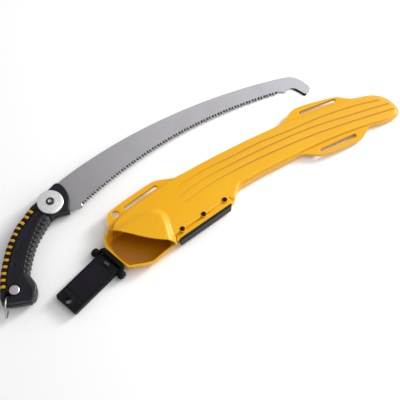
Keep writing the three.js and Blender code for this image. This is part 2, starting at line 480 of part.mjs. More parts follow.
const pocket = boxAt(catchAt[0] + CATCH_TRAVEL / 2 + 0.1, catchAt[1], 2.8 + 5, CATCH[0] + CATCH_TRAVEL + 0.8, CATCH[1] + 2 * GAP, 10);
leaf = cut(join(leaf, barrel), pinHole(2.3), hangerHole, pocket);
place(hanger, "belt_hanger", leaf, BLACK);
const catchPts = [[catchAt[0] - CATCH[0] / 2, catchAt[1] - CATCH[1] / 2], [catchAt[0] + CATCH[0] / 2, catchAt[1] - CATCH[1] / 2], [catchAt[0] + CATCH[0] / 2, catchAt[1] + CATCH[1] / 2], [catchAt[0] - CATCH[0] / 2, catchAt[1] + CATCH[1] / 2]];
place(hanger, "hanger_catch", puck(catchPts, 3.1, 5.7, 0.5, 0.5, 1), BLACK);

// bracket on the scabbard's end, with two ears for the pin
function knob(y, sgn) {
  // round pin end, centred on the pin's axis
  const g = new THREE.LatheGeometry(
    [[0, 0], [4.4, 0], [6, 1], [KNOB_R, 2.8], [KNOB_R, 4.8], [6, 6.6], [4.2, 7.6], [0, 8.2]].map(([r, z]) => new THREE.Vector2(r, z)),
    24,
  );
  if (sgn < 0) g.rotateX(Math.PI);
  g.translate(0, y, 0);
  const s = solid(g);
  return s.volume() < 0 ? solid(flip(g)) : s;
}
function rod(r, y0, y1, n = 24) {
  const g = new THREE.CylinderGeometry(r, r, y1 - y0, n);
  g.translate(0, (y0 + y1) / 2, 0);
  return solid(g);
}
const earY = W2 + 0.5;
const knobY = earY + EAR_T + GAP;
const ear = (s) => join(s > 0 ? rod(5.6, earY, earY + EAR_T) : rod(5.6, -earY - EAR_T, -earY), boxAt(-4.4, s * (earY + EAR_T / 2), 1.9, 8, EAR_T, 8.6));
const bracketBar = prism([[-6.8, -earY - EAR_T], [-5.8, earY + EAR_T], [-11.4, W2 + 0.6], [-12.9, -W2 + 1]], -4.6, 8.4);
place(hanger, "hanger_bracket", cut(join(bracketBar, ear(1), ear(-1)), pinHole(2.3)), BLACK);
place(hanger, "hanger_pin", join(rod(2, -knobY - 0.5, knobY + 3.4, 20), knob(-knobY, -1)), BLACK);
place(hanger, "hanger_pin_cap", cut(knob(knobY, 1), rod(2.3, knobY - 1, knobY + 3.7, 20)), BLACK);

export default root;
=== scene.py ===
import bpy, bmesh, math
import numpy as np
from mathutils import Matrix, Vector, Euler, kdtree
from mathutils.geometry import delaunay_2d_cdt


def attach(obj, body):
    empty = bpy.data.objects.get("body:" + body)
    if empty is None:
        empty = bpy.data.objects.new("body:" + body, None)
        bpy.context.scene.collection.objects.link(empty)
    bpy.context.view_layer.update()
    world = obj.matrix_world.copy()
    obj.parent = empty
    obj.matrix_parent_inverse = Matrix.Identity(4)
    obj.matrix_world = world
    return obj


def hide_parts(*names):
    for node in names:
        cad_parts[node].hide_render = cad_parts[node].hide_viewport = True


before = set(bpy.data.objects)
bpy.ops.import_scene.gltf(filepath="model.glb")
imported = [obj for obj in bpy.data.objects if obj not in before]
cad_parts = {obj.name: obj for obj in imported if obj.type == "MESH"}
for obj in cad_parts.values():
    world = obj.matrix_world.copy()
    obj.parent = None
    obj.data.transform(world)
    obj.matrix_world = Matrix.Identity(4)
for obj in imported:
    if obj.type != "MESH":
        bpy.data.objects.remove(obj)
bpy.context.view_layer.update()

rad = math.radians
scene = bpy.context.scene

# ------------------------------------------------------------------ frames
SHIFT = np.array([-5.87, -33.97, 0.1])
SAW_AT = np.array([-202.55, 89.66, 15.01]) + SHIFT
SCAB_AT = np.array([-86.06, -5.07, 17.0]) + SHIFT
PIN = np.array([SCAB_AT[0] - 82.15, SCAB_AT[1] - 27.64, 8.2 + SHIFT[2]])
BENCH = SHIFT
def frame_of(at, az, tilt=0.0):
    m = Matrix.Rotation(rad(az), 4, 'Z') @ Matrix.Rotation(rad(tilt), 4, 'Y')
    m.translation = Vector([c * 0.001 for c in at])
    return m
M_SAW = frame_of(SAW_AT, 0.607, 1.809)
M_SCAB = frame_of(SCAB_AT, 0.0, 1.555)
M_HANG = frame_of(PIN, 199.8)

# ------------------------------------------------------------------ helpers (millimetres in a local frame)
def smooth(pts, step=1.5, closed=False):
    p = np.array(pts, float)
    n = len(p)
    out = []
    segs = n if closed else n - 1
    for i in range(segs):
        p1, p2 = p[i], p[(i + 1) % n]
        p0 = p[(i - 1) % n] if (closed or i > 0) else 2 * p1 - p2
        p3 = p[(i + 2) % n] if (closed or i + 2 < n) else 2 * p2 - p1
        t0 = 0.0
        t1 = t0 + max(np.hypot(*(p1 - p0)), 1e-6) ** 0.5
        t2 = t1 + max(np.hypot(*(p2 - p1)), 1e-6) ** 0.5
        t3 = t2 + max(np.hypot(*(p3 - p2)), 1e-6) ** 0.5
        k = max(1, int(round(np.hypot(*(p2 - p1)) / step)))
        for j in range(k):
            t = t1 + (t2 - t1) * j / k
            a1 = (t1 - t) / (t1 - t0) * p0 + (t - t0) / (t1 - t0) * p1
            a2 = (t2 - t) / (t2 - t1) * p1 + (t - t1) / (t2 - t1) * p2
            a3 = (t3 - t) / (t3 - t2) * p2 + (t - t2) / (t3 - t2) * p3
            b1 = (t2 - t) / (t2 - t0) * a1 + (t - t0) / (t2 - t0) * a2
            b2 = (t3 - t) / (t3 - t1) * a2 + (t - t1) / (t3 - t1) * a3
            c = (t2 - t) / (t2 - t1) * b1 + (t - t1) / (t2 - t1) * b2
            out.append(c)
    if not closed:
        out.append(p[-1])
    return np.array(out)
def area(p):
    q = np.roll(p, -1, 0)
    return 0.5 * np.sum(p[:, 0] * q[:, 1] - q[:, 0] * p[:, 1])
def offset(pts, d):
    p = np.array(pts, float)
    a = np.vstack([p[:1], p[:-1]]); b = np.vstack([p[1:], p[-1:]])
    t = b - a
    t /= np.maximum(np.hypot(t[:, 0], t[:, 1]), 1e-9)[:, None]
    return p + np.stack([-t[:, 1], t[:, 0]], 1) * d
def inset(pts, d):
    p = np.array(pts, float)
    if area(p) < 0:
        d = -d
    t = np.roll(p, -1, 0) - np.roll(p, 1, 0)
    t /= np.maximum(np.hypot(t[:, 0], t[:, 1]), 1e-9)[:, None]
    return p + np.stack([-t[:, 1], t[:, 0]], 1) * d
def sdist(poly, P):
    """distance to a closed outline, positive inside"""
    A = np.array(poly, float); B = np.roll(A, -1, 0)
    best = np.full(len(P), 1e18); inside = np.zeros(len(P), bool)
    for a, b in zip(A, B):
        d = b - a; L = d @ d
        if L < 1e-12:
            continue
        t = np.clip(((P - a) @ d) / L, 0, 1)
        q = P - (a + t[:, None] * d)
        best = np.minimum(best, (q * q).sum(1))
        c = (a[1] > P[:, 1]) != (b[1] > P[:, 1])
        with np.errstate(divide='ignore', invalid='ignore'):
            xi = a[0] + (P[:, 1] - a[1]) / (b[1] - a[1]) * d[0]
        inside ^= c & (P[:, 0] < xi)
    r = np.sqrt(best)
    return np.where(inside, r, -r)
def ldist(line, P):
    A = np.array(line, float)
    best = np.full(len(P), 1e18)
    for a, b in zip(A[:-1], A[1:]):
        d = b - a
        t = np.clip(((P - a) @ d) / max(d @ d, 1e-12), 0, 1)
        q = P - (a + t[:, None] * d)
        best = np.minimum(best, (q * q).sum(1))
    return np.sqrt(best)
def sstep(x, a, b):
    t = np.clip((x - a) / (b - a), 0, 1)
    return t * t * (3 - 2 * t)
def smax(a, b, k):
    h = np.clip(0.5 + 0.5 * (a - b) / k, 0, 1)
    return b * (1 - h) + a * h + k * h * (1 - h)
def circle(x, y, r, n=40):
    a = np.linspace(0, 2 * math.pi, n, endpoint=False)
    return np.stack([x + r * np.cos(a), y + r * np.sin(a)], 1)
def capsule(a, b, r, n=14):
    a = np.array(a, float); b = np.array(b, float)
    t = math.atan2(b[1] - a[1], b[0] - a[0])
    pts = [(b[0] + r * math.cos(t + u), b[1] + r * math.sin(t + u)) for u in np.linspace(-math.pi / 2, math.pi / 2, n)]
    pts += [(a[0] + r * math.cos(t + u), a[1] + r * math.sin(t + u)) for u in np.linspace(math.pi / 2, 1.5 * math.pi, n)]
    return np.array(pts)

def finish_mesh(name, verts, faces, M, body, mats, replaces=(), sharp=34, pick=None, smooth_all=False):
    me = bpy.data.meshes.new(name)
    pts = [(v[0] * 0.001, v[1] * 0.001, v[2] * 0.001) for v in verts]
    if M is M_SCAB:
        pts = [tuple(M @ Vector(q)) for q in pts]
    me.from_pydata(pts, [], faces)
    me.validate()
    bm = bmesh.new(); bm.from_mesh(me)
    bmesh.ops.remove_doubles(bm, verts=bm.verts, dist=1e-6)
    bmesh.ops.recalc_face_normals(bm, faces=bm.faces)
    for f in bm.faces:
        f.smooth = True
        if pick:
            f.material_index = pick(f.calc_center_median() * 1000)
    lim = rad(sharp)
    for e in bm.edges:
        if len(e.link_faces) == 2:
            e.smooth = smooth_all or e.calc_face_angle(0) < lim
    bm.to_mesh(me); bm.free()
    o = bpy.data.objects.new(name, me)
    scene.collection.objects.link(o)
    for m in (mats if isinstance(mats, (list, tuple)) else [mats]):
        me.materials.append(m)
    o.matrix_world = Matrix.Identity(4) if M is M_SCAB else M
    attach(o, body)
    if replaces:
        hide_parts(*replaces)
    return o

def relief_mesh(outer, holes, guides, lines, pitch, top, bottom):
    """a sheet solid over an outline: both faces follow height functions of (x, y)"""
    V = []; E = []
    def add(loop, closed):
        b = len(V); n = len(loop)
        V.extend([tuple(map(float, p)) for p in loop])
        E.extend((b + i, b + (i + 1) % n) for i in range(n if closed else n - 1))
    for l in [outer] + list(holes) + list(guides):
        add(l, True)
    for l in lines:
        add(l, False)
    lo = np.min(outer, 0); hi = np.max(outer, 0)
    xs = np.arange(lo[0] + pitch * 0.37, hi[0], pitch); ys = np.arange(lo[1] + pitch * 0.41, hi[1], pitch)
    G = np.array([(x + (j % 2) * pitch * 0.5, y) for j, y in enumerate(ys) for x in xs])
    keep = sdist(outer, G) > 0.3 * pitch
    G = G[keep]
    for h in holes:
        G = G[sdist(h, G) < -0.3 * pitch]
    tree = kdtree.KDTree(len(V))
    for i, v in enumerate(V):
        tree.insert((v[0], v[1], 0), i)
    tree.balance()
    G = [tuple(g) for g in G if tree.find((g[0], g[1], 0))[2] > 0.5 * pitch]
    out = delaunay_2d_cdt([Vector(v) for v in V + G], E, [], 0, 1e-4, False)
    P = np.array([(v.x, v.y) for v in out[0]])
    F = np.array([f for f in out[2] if len(f) == 3])
    C = P[F].mean(1)
    ok = sdist(outer, C) > 0
    for h in holes:
        ok &= sdist(h, C) < 0
    F = F[ok]
    used = np.unique(F); idx = -np.ones(len(P), int); idx[used] = np.arange(len(used))
    P = P[used]; F = idx[F]
    zt = top(P); zb = bottom(P)
    n = len(P)
    verts = np.vstack([np.column_stack([P, zt]), np.column_stack([P, zb])])
    # anticlockwise from above
    a, b, c = P[F[:, 0]], P[F[:, 1]], P[F[:, 2]]
    cr = (b[:, 0] - a[:, 0]) * (c[:, 1] - a[:, 1]) - (b[:, 1] - a[:, 1]) * (c[:, 0] - a[:, 0])
    F[cr < 0] = F[cr < 0][:, ::-1]
    faces = [tuple(f) for f in F] + [tuple(n + i for i in f[::-1]) for f in F]
    seen = {}
    for f in F:
        for i in range(3):
            e = (int(f[i]), int(f[(i + 1) % 3]))
            seen[e] = True
    for (i, j) in list(seen):
        if (j, i) not in seen:
            faces.append((j, i, n + i, n + j))
    return verts, faces

def lathe_mesh(profile, n=64, axis='z', at=(0, 0)):
    """profile of (radius, height); closed on the axis or a ring"""
    verts = []; faces = []
    rows = []
    for r, h in profile:
        if r < 1e-6:
            rows.append([len(verts)]); verts.append((0, 0, h))
        else:
            rows.append(list(range(len(verts), len(verts) + n)))
            for i in range(n):
                a = 2 * math.pi * i / n
                verts.append((r * math.cos(a), r * math.sin(a), h))
    for A, B in zip(rows[:-1], rows[1:]):
        for i in range(n):
            j = (i + 1) % n
            if len(A) == 1 and len(B) == 1:
                continue
            if len(A) == 1:
                faces.append((A[0], B[j], B[i]))
            elif len(B) == 1:
                faces.append((A[i], A[j], B[0]))
            else:
                faces.append((A[i], A[j], B[j], B[i]))
    if axis == 'y':
        verts = [(x, z, -y) for x, y, z in verts]
    verts = [(x + at[0], y + at[1], z) for x, y, z in verts]
    return verts, faces

def tube_mesh(sections, closed_ends=True):
    """rings of equal length joined in order"""
    n = len(sections[0]); verts = [tuple(p) for s in sections for p in s]; faces = []
    for k in range(len(sections) - 1):
        for i in range(n):
            j = (i + 1) % n
            faces.append((k * n + i, k * n + j, (k + 1) * n + j, (k + 1) * n + i))
    if closed_ends:
        faces.append(tuple(range(n))[::-1])
        faces.append(tuple((len(sections) - 1) * n + i for i in range(n)))
    return verts, faces
def merge(*parts):
    V = []; F = []
    for v, f in parts:
        b = len(V); V.extend([tuple(p) for p in v]); F.extend([tuple(b + i for i in q) for q in f])
    return V, F

# ------------------------------------------------------------------ materials
class Mat:
    def __init__(self, name, color, rough, metal=0.0, **kw):
        self.m = bpy.data.materials.new(name); self.m.use_nodes = True
        self.nt = self.m.node_tree; self.b = self.nt.nodes['Principled BSDF']
        self.b.inputs['Base Color'].default_value = (*color, 1)
        self.b.inputs['Roughness'].default_value = rough
        self.b.inputs['Metallic'].default_value = metal
        for k, v in kw.items():
            self.b.inputs[k.replace('_', ' ')].default_value = v
        self.tc = self.nt.nodes.new('ShaderNodeTexCoord')
        self.h = None
    def node(self, kind, **kw):
        n = self.nt.nodes.new(kind)
        for k, v in kw.items():
            setattr(n, k, v)
        return n
    def link(self, a, b):
        self.nt.links.new(a, b)
    def coords(self, scale=(1, 1, 1), rot=(0, 0, 0)):
        n = self.node('ShaderNodeMapping')
        n.inputs['Scale'].default_value = scale
        n.inputs['Rotation'].default_value = rot
        self.link(self.tc.outputs['Object'], n.inputs['Vector'])
        return n.outputs['Vector']
    def noise(self, scale, detail=3, rough=0.5, vec=None, dist=0.0):
        n = self.node('ShaderNodeTexNoise')
        n.inputs['Scale'].default_value = scale; n.inputs['Detail'].default_value = detail
        n.inputs['Roughness'].default_value = rough; n.inputs['Distortion'].default_value = dist
        self.link(vec if vec is not None else self.tc.outputs['Object'], n.inputs['Vector'])
        return n.outputs['Fac']
    def math(self, op, a, b=None, clamp=False):
        n = self.node('ShaderNodeMath', operation=op); n.use_clamp = clamp
        for i, v in enumerate((a, b)):
            if v is None:
                continue
            if isinstance(v, (int, float)):
                n.inputs[i].default_value = v
            else:
                self.link(v, n.inputs[i])
        return n.outputs[0]
    def ramp(self, fac, stops):
        n = self.node('ShaderNodeValToRGB')
        el = n.color_ramp.elements
        while len(el) < len(stops):
            el.new(0.5)
        for e, (p, c) in zip(el, stops):
            e.position = p; e.color = (*c, 1) if len(c) == 3 else c
        self.link(fac, n.inputs['Fac'])
        return n.outputs['Color']
    def mix(self, fac, a, b, blend='MIX'):
        n = self.node('ShaderNodeMix', data_type='RGBA', blend_type=blend)
        for sock, v in ((n.inputs[0], fac), (n.inputs[6], a), (n.inputs[7], b)):
            if isinstance(v, (int, float)):
                sock.default_value = v
            elif isinstance(v, tuple):
                sock.default_value = (*v, 1)
            else:
                self.link(v, sock)
        return n.outputs[2]
    def color(self, out):
        self.link(out, self.b.inputs['Base Color'])
    def roughness(self, fac, lo, hi):
        n = self.node('ShaderNodeMapRange')
        n.inputs['To Min'].default_value = lo; n.inputs['To Max'].default_value = hi
        n.inputs['From Min'].default_value = 0.3; n.inputs['From Max'].default_value = 0.7
        self.link(fac, n.inputs['Value']); self.link(n.outputs[0], self.b.inputs['Roughness'])
    def bump(self, height, strength, dist):
        n = self.node('ShaderNodeBump')
        n.inputs['Strength'].default_value = strength; n.inputs['Distance'].default_value = dist
        self.link(height, n.inputs['Height'])
        if self.h is not None:
            self.link(self.h, n.inputs['Normal'])
        self.h = n.outputs['Normal']
        self.link(self.h, self.b.inputs['Normal'])
    def attr(self, name):
        n = self.node('ShaderNodeAttribute', attribute_name=name)
        return n.outputs['Fac']

def yellow(name, inner=False, world=False):
    m = Mat(name, (0.78, 0.39, 0.002), 0.30, 0.0, IOR=1.49, Specular_IOR_Level=0.42)
    big = m.noise(9, 3)
    fine = m.noise(260, 3, 0.6)
    k = 0.80 if inner else 1.0
    base = m.ramp(big, [(0.3, (0.755 * k, 0.365 * k, 0.0)), (0.7, (0.80 * k, 0.41 * k, 0.001))])
    # painted light and shade: the colour turns a paler, duller yellow towards the tip, a lighting gradient along the
    # scabbard and not a colour of the plastic
    sep = m.node('ShaderNodeSeparateXYZ'); m.link(m.tc.outputs['Object'], sep.inputs[0])
    t = m.math('MULTIPLY', m.math('ADD', sep.outputs[0], 0.05), 2.6, True)
    if not world:
        base = m.mix(t, base, (0.665, 0.345, 0.014))
    scuff = m.noise(60, 6, 0.7, m.coords((1, 7, 7), (0, 0, rad(6))))
    s = m.ramp(scuff, [(0.60, (0, 0, 0)), (0.72, (1, 1, 1))])
    base = m.mix(m.math('MULTIPLY', s, 0.10), base, (0.9, 0.6, 0.16))
    # painted shade read from a mesh attribute: the grooves and the inside of the mouth scoop go deep brown
    g = m.attr('painted_shade')
    base = m.mix(m.math('MULTIPLY', g, 0.80), base, (0.33, 0.095, 0.0))
    m.color(base)
    m.roughness(m.noise(420, 2, 0.6), 0.25, 0.36)
    m.bump(m.noise(1400, 2, 0.6), 0.08, 0.00025)
    m.bump(fine, 0.05, 0.0004)
    return m.m
def black_plastic(name, color=(0.0045, 0.0044, 0.0052), rough=0.42, spec=0.13):
    m = Mat(name, color, rough, 0.0, IOR=1.48, Specular_IOR_Level=spec)
    n = m.noise(50, 4)
    m.color(m.ramp(n, [(0.3, tuple(c * 0.85 for c in color)), (0.7, tuple(c * 1.35 for c in color))]))
    m.roughness(m.noise(500, 2, 0.6), rough - 0.05, rough + 0.08)
    m.bump(m.noise(1600, 2, 0.7), 0.18, 0.0002)
    return m.m
def handle_mat(name):
    m = Mat(name, (0.014, 0.013, 0.019), 0.38, 0.0, IOR=1.5, Specular_IOR_Level=0.20)
    n = m.noise(35, 4)
    c = m.ramp(n, [(0.3, (0.0075, 0.0070, 0.0115)), (0.7, (0.0135, 0.0125, 0.0195))])
    sc = m.ramp(m.noise(90, 6, 0.75, m.coords((1, 5, 2), (0, 0, rad(50)))), [(0.64, (0, 0, 0)), (0.76, (1, 1, 1))])
    m.color(m.mix(m.math('MULTIPLY', sc, 0.12), c, (0.10, 0.10, 0.11)))
    m.roughness(m.noise(600, 2, 0.6), 0.34, 0.46)
    m.bump(m.noise(1500, 2, 0.6), 0.16, 0.0002)
    return m.m
def rubber_mat(name, k=1.0, spec=0.5):
    m = Mat(name, (0.022, 0.021, 0.025), 0.36, 0.0, IOR=1.5, Specular_IOR_Level=spec)
    n = m.noise(60, 4)
    base = m.ramp(n, [(0.3, (0.020 * k, 0.018 * k, 0.025 * k)), (0.7, (0.034 * k, 0.031 * k, 0.041 * k))])
    # painted shade read from a mesh attribute: near black in the grooves between the finger ribs
    m.color(m.mix(m.attr('painted_shade'), base, (0.002, 0.002, 0.002)))
    m.roughness(m.noise(700, 2, 0.6), 0.36, 0.48)
    m.bump(m.noise(2200, 2, 0.7), 0.25, 0.00025)
    return m.m
def steel_mat(name):
    m = Mat(name, (0.42, 0.41, 0.44), 0.48, 0.55)
    # painted reflection: the base colour runs from dark at the pivot end to light at the tip along the blade, standing
    # in for the lamp's reflection
    sep = m.node('ShaderNodeSeparateXYZ'); m.link(m.tc.outputs['Object'], sep.inputs[0])
    t = m.math('MULTIPLY', sep.outputs[0], 2.35, True)
    base = m.ramp(t, [(0.0, (0.26, 0.25, 0.265)), (0.45, (0.415, 0.405, 0.43)), (1.0, (0.48, 0.47, 0.505))])
    streak = m.noise(1, 4, 0.6, m.coords((60, 2600, 60), (0, 0, rad(-78))))
    base = m.mix(m.math('MULTIPLY', m.ramp(streak, [(0.35, (0, 0, 0)), (0.7, (1, 1, 1))]), 0.22), base, (0.62, 0.61, 0.64))
    blot = m.noise(22, 4, 0.6)
    base = m.mix(m.math('MULTIPLY', m.ramp(blot, [(0.5, (0, 0, 0)), (0.75, (1, 1, 1))]), 0.18), base, (0.20, 0.19, 0.20))
    m.color(base)
    m.roughness(streak, 0.44, 0.58)
    m.bump(streak, 0.12, 0.00012)
    return m.m
def bevel_mat(name, color=(0.05, 0.05, 0.055)):
    m = Mat(name, color, 0.35, 0.85)
    s = m.noise(1, 3, 0.6, m.coords((3000, 200, 200)))
    m.color(m.ramp(s, [(0.3, tuple(c * 0.7 for c in color)), (0.7, tuple(c * 1.5 for c in color))]))
    m.bump(s, 0.1, 0.0001)
    return m.m
def silver_mat(name, color=(0.76, 0.76, 0.76), rough=0.42, grain=900, depth=0.35, metal=0.85):
    m = Mat(name, color, rough, metal)
    n = m.noise(40, 4)
    m.color(m.ramp(n, [(0.3, tuple(c * 0.80 for c in color)), (0.7, color)]))
    g = m.noise(grain, 3, 0.65)
    if grain < 700:
        m.color(m.ramp(g, [(0.28, tuple(c * 0.70 for c in color)), (0.50, tuple(c * 0.97 for c in color)), (0.7, tuple(min(0.95, c * 1.2) for c in color))]))
    m.roughness(g, rough - 0.08, rough + 0.12)
    m.bump(g, depth, 0.0004)
    return m.m
def grid_mat(name):
    m = Mat(name, (0.014, 0.013, 0.016), 0.44, 0.0, IOR=1.48, Specular_IOR_Level=0.10)
    c = m.tc.outputs['Object']
    sep = m.node('ShaderNodeSeparateXYZ'); m.link(c, sep.inputs[0])
    def saw(o, pitch):
        f = m.math('FRACT', m.math('MULTIPLY', m.math('ADD', o, 0.5), 1 / pitch))
        return m.math('ABSOLUTE', m.math('SUBTRACT', f, 0.5))
    gx = saw(sep.outputs[0], 0.0019); gy = saw(sep.outputs[1], 0.0019)
    g = m.math('MULTIPLY', m.math('MAXIMUM', gx, gy), 2.0)
    h = m.node('ShaderNodeMapRange'); h.interpolation_type = 'SMOOTHSTEP'
    h.inputs['From Min'].default_value = 0.70; h.inputs['From Max'].default_value = 0.92
    m.link(g, h.inputs['Value'])
    n = m.noise(45, 4)
    base = m.ramp(n, [(0.3, (0.0125, 0.0100, 0.0165)), (0.7, (0.0175, 0.0145, 0.0225))])
    m.color(m.mix(h.outputs[0], base, (0.001, 0.001, 0.001)))
    m.roughness(m.noise(500, 2), 0.38, 0.52)
    m.bump(m.math('SUBTRACT', 1.0, h.outputs[0]), 0.6, 0.0004)
    m.bump(m.noise(1500, 2, 0.7), 0.15, 0.0002)
    return m.m

YEL = yellow('yellow_plastic'); YEL_IN = yellow('yellow_insert', inner=True, world=True)
PLATE = handle_mat('handle_body'); RUB = rubber_mat('black_rubber', 0.65, 0.5); RUB_S = rubber_mat('black_rubber_spine', 0.22, 0.15)
# painted shade and light on the ground bevels: a near-black copy for the hook's bevel and one flank of each tooth, a
# grey lit copy for the other flank
STEEL = steel_mat('steel_blade'); EDGE_SHADE = bevel_mat('ground_edge_painted_shade', (0.018, 0.018, 0.02)); TOOTH_LIT = bevel_mat('ground_tooth_lit_flank', (0.36, 0.36, 0.37))
DISC = silver_mat('silver_disc', (0.86, 0.86, 0.87), 0.36, 620, 0.4, 0.75)
DARKS = silver_mat('dark_screw', (0.07, 0.07, 0.075), 0.36, 1500, 0.15, 0.9)
SCREW = silver_mat('screw_steel', (0.66, 0.66, 0.66), 0.34, 1500, 0.15, 0.95)
CORE = silver_mat('core_metal', (0.6, 0.6, 0.6), 0.4, 1200, 0.1, 0.95)
RING = silver_mat('ring_steel', (0.50, 0.50, 0.49), 0.28, 2500, 0.05, 1.0)
BLACK = black_plastic('black_plastic'); PINB = black_plastic('pin_black', (0.008, 0.008, 0.009), 0.5)
GUARD = black_plastic('guard_plastic', (0.012, 0.0135, 0.015), 0.40)
RIVET = black_plastic('rivet_dark', (0.012, 0.006, 0.004), 0.35)
GRID = grid_mat('hanger_grid'); CATCH = black_plastic('catch_plastic', (0.045, 0.045, 0.05), 0.35, 0.4)
# ------------------------------------------------------------------ BLADE
def tooth_line(x):
    return 1.0494e-9 * x ** 4 - 8.909e-7 * x ** 3 - 4.7434e-4 * x ** 2 + 0.391043 * x - 38.162
def tooth_slope(x):
    return 4.1976e-9 * x ** 3 - 2.6727e-6 * x ** 2 - 9.4868e-4 * x + 0.391043
PITCH, DEPTH, TEETH, TANG = 4.97, 4.3, 74, 17.0
blade = [(TANG * math.cos(rad(a)), TANG * math.sin(rad(a))) for a in np.arange(100, 262.1, 4.5)]
blade += [(20.3, -19.4), (35.4, -25.5), (39.2, -24.7)]
tips = []; gul = [(39.2, -24.7)]
tx = 41.0
for k in range(TEETH):
    m_ = tooth_slope(tx); c_ = 1 / math.hypot(1, m_)
    tips.append((tx, tooth_line(tx)))
    gx = tx + 0.56 * PITCH * c_
    g = (gx - m_ * c_ * DEPTH, tooth_line(gx) + c_ * DEPTH)
    gul.append(g)
    blade += [tips[-1], g]
    tx += PITCH * c_
hook_low = [(412.4, 9.6), (416.5, 12.6), (423.4, 12.4), (427.2, 6.2), (431.4, -1.9), (434.6, -8.5), (436, -9.8)]
blade += hook_low[:-1]
blade += [tuple(p) for p in smooth([(436, -9.8), (438.5, -9.6), (442.7, -8), (446.8, -5.6), (449.6, -2.2), (450.2, 1.5), (448.9, 8), (444.6, 18.6), (438.4, 26.9), (431, 32.2)], 1.2)]
blade += [tuple(p) for p in smooth([(426, 33.9), (411, 37.6), (391.1, 41.6), (371.2, 45), (351.2, 47.9), (320.3, 51.6), (289.2, 54.2), (258.1, 55.6), (226.3, 55.9), (194.4, 55.1), (162.2, 53.1), (129.7, 49.8), (96.8, 45), (63.5, 39), (29.4, 30.6), (12, 25)], 6)]
blade = np.array(blade)
lines = []; cent = []
for k in range(TEETH):
    a, b = np.array(gul[k]), np.array(gul[k + 1])
    mid = (a + b) / 2; t = (b - a) / np.hypot(*(b - a))
    c = mid + np.array([-t[1], t[0]]) * 1.2
    cent.append(c)
    lines.append(np.array([a, c, b]))
hk = offset(hook_low[2:], 3.0)
lines.append(np.array([hook_low[2]] + [tuple(p) for p in hk[1:-1]] + [(439.5, -6.5), (438.5, -9.6)]))
tt = kdtree.KDTree(TEETH)
for i, t in enumerate(tips):
    tt.insert((t[0], t[1], 0), i)
tt.balance()
hook_edge = np.array(hook_low[3:])
def blade_z(P, side):
    z = np.full(len(P), 0.9)
    for i, p in enumerate(P):
        co, k, d = tt.find((p[0], p[1], 0))
        if d < 0.02:
            z[i] = -0.45 if (k % 2 == 0) == (side > 0) else 0.9
    if side > 0:
        for h in hook_edge:
            z[np.hypot(P[:, 0] - h[0], P[:, 1] - h[1]) < 0.05] = -0.6
    return z
v, f = relief_mesh(blade, [circle(0, 0, 4.3, 32)], [], lines, 9.0, lambda P: blade_z(P, 1), lambda P: -blade_z(P, -1))
hs = np.array([hook_low[2]] + hook_low[3:] + [(438.5, -9.6), (439.5, -6.5)] + [tuple(p) for p in hk[1:-1]][::-1])
tooth_mid = np.array([(np.array(gul[k]) + np.array(gul[k + 1]) + np.array(tips[k]) + cent[k]) / 4 for k in range(TEETH)])
# the hook bevel and the first part of each tooth flank get the near-black painted-shade copy, the rest of each tooth
# flank the grey lit copy
def blade_pick(c):
    if 424 < c.x < 441 and sdist(hs, np.array([[c.x, c.y]]))[0] > -0.15 and c.z > -0.5:
        return 1
    if 38 < c.x < 413:
        p = np.array([c.x, c.y])
        k = int(np.argmin(np.hypot(tooth_mid[:, 0] - p[0], tooth_mid[:, 1] - p[1])))
        a, b = np.array(gul[k]), np.array(gul[k + 1])
        t = (b - a) / np.hypot(*(b - a))
        if t[0] * (p[1] - a[1]) - t[1] * (p[0] - a[0]) < 0.3:
            return 1 if ((p - a) @ t) / np.hypot(*(b - a)) < 0.48 else 2
    return 0
blade_o = finish_mesh('saw_blade', v, f, M_SAW, 'blade', [STEEL, EDGE_SHADE, TOOTH_LIT], ['blade'], 9, blade_pick)

# ------------------------------------------------------------------ HANDLE
spine = smooth([(-26.6, 7.5), (-33, 3.9), (-40.8, -0.6), (-50.4, -6.7), (-60.2, -12), (-68.1, -18.6), (-76, -26), (-84.2, -34.2), (-91, -41.8), (-97, -49.8), (-103, -58.2), (-109.2, -67.5), (-114.4, -76), (-119.4, -85.6), (-123, -94)], 0.35)
finger = smooth([(-10.5, -22.6), (-13.6, -24.4), (-21, -29.8), (-30.3, -36.6), (-37.6, -42), (-43.6, -47.4), (-49.6, -53.4), (-54.6, -59.4), (-60.2, -66.4), (-64.9, -72.9), (-69.4, -79.5), (-73.4, -85.8), (-75.2, -91), (-74.8, -97.8), (-73.6, -105), (-73.4, -111), (-75.4, -116.8), (-79.6, -122.6), (-83.2, -126.4)], 0.35)
f_in = smooth([(-17.4, -13.8), (-26.2, -18.6), (-40, -30.2), (-52.6, -42.8), (-65.6, -57.6), (-75, -70.6), (-83.6, -85.6), (-84.6, -99.4), (-82.6, -111.5), (-88.6, -126.6)], 0.6)
head = [(14.9, -23), (19.2, -24.2), (20.8, -20.4), (24.6, -12.9), (28.2, -5.4), (29.7, 1.5), (29.8, 8.4), (28.9, 16.6), (26.6, 22.8), (22.4, 26.6), (18.4, 26.8), (10.6, 23.6), (2.5, 20.3), (-6, 17.2), (-14.6, 13), (-21.4, 9.9)]
butt = [(-125.6, -100.6), (-127.8, -106.6), (-127.2, -112.4), (-121.6, -116.6), (-111, -120.8), (-98.4, -125.2), (-90.6, -128.2), (-86.6, -128.8)]
head_s = np.vstack([[(14.9, -23), (19.2, -24.2)], smooth(head[2:], 1.2)])
under = smooth([(-10.5, -22.6), (-7.2, -21.5), (-0.2, -20.6), (7.7, -21.2), (14.9, -23)], 1.2)
body_outline = np.vstack([head_s, spine[::4], smooth(butt, 1.2), finger[::-4], under[1:-1]])
BAND = 9.4
sp_in = offset(spine, BAND + 0.25)[::5]
plate = np.vstack([head_s, [spine[0]], sp_in, [spine[-1]], smooth(butt[:-1], 1.2), [(-89.4, -128.3)], f_in[::-2] + np.array([-0.2, 0.1]), [(-10.6, -19.4)], under[1:-1]])
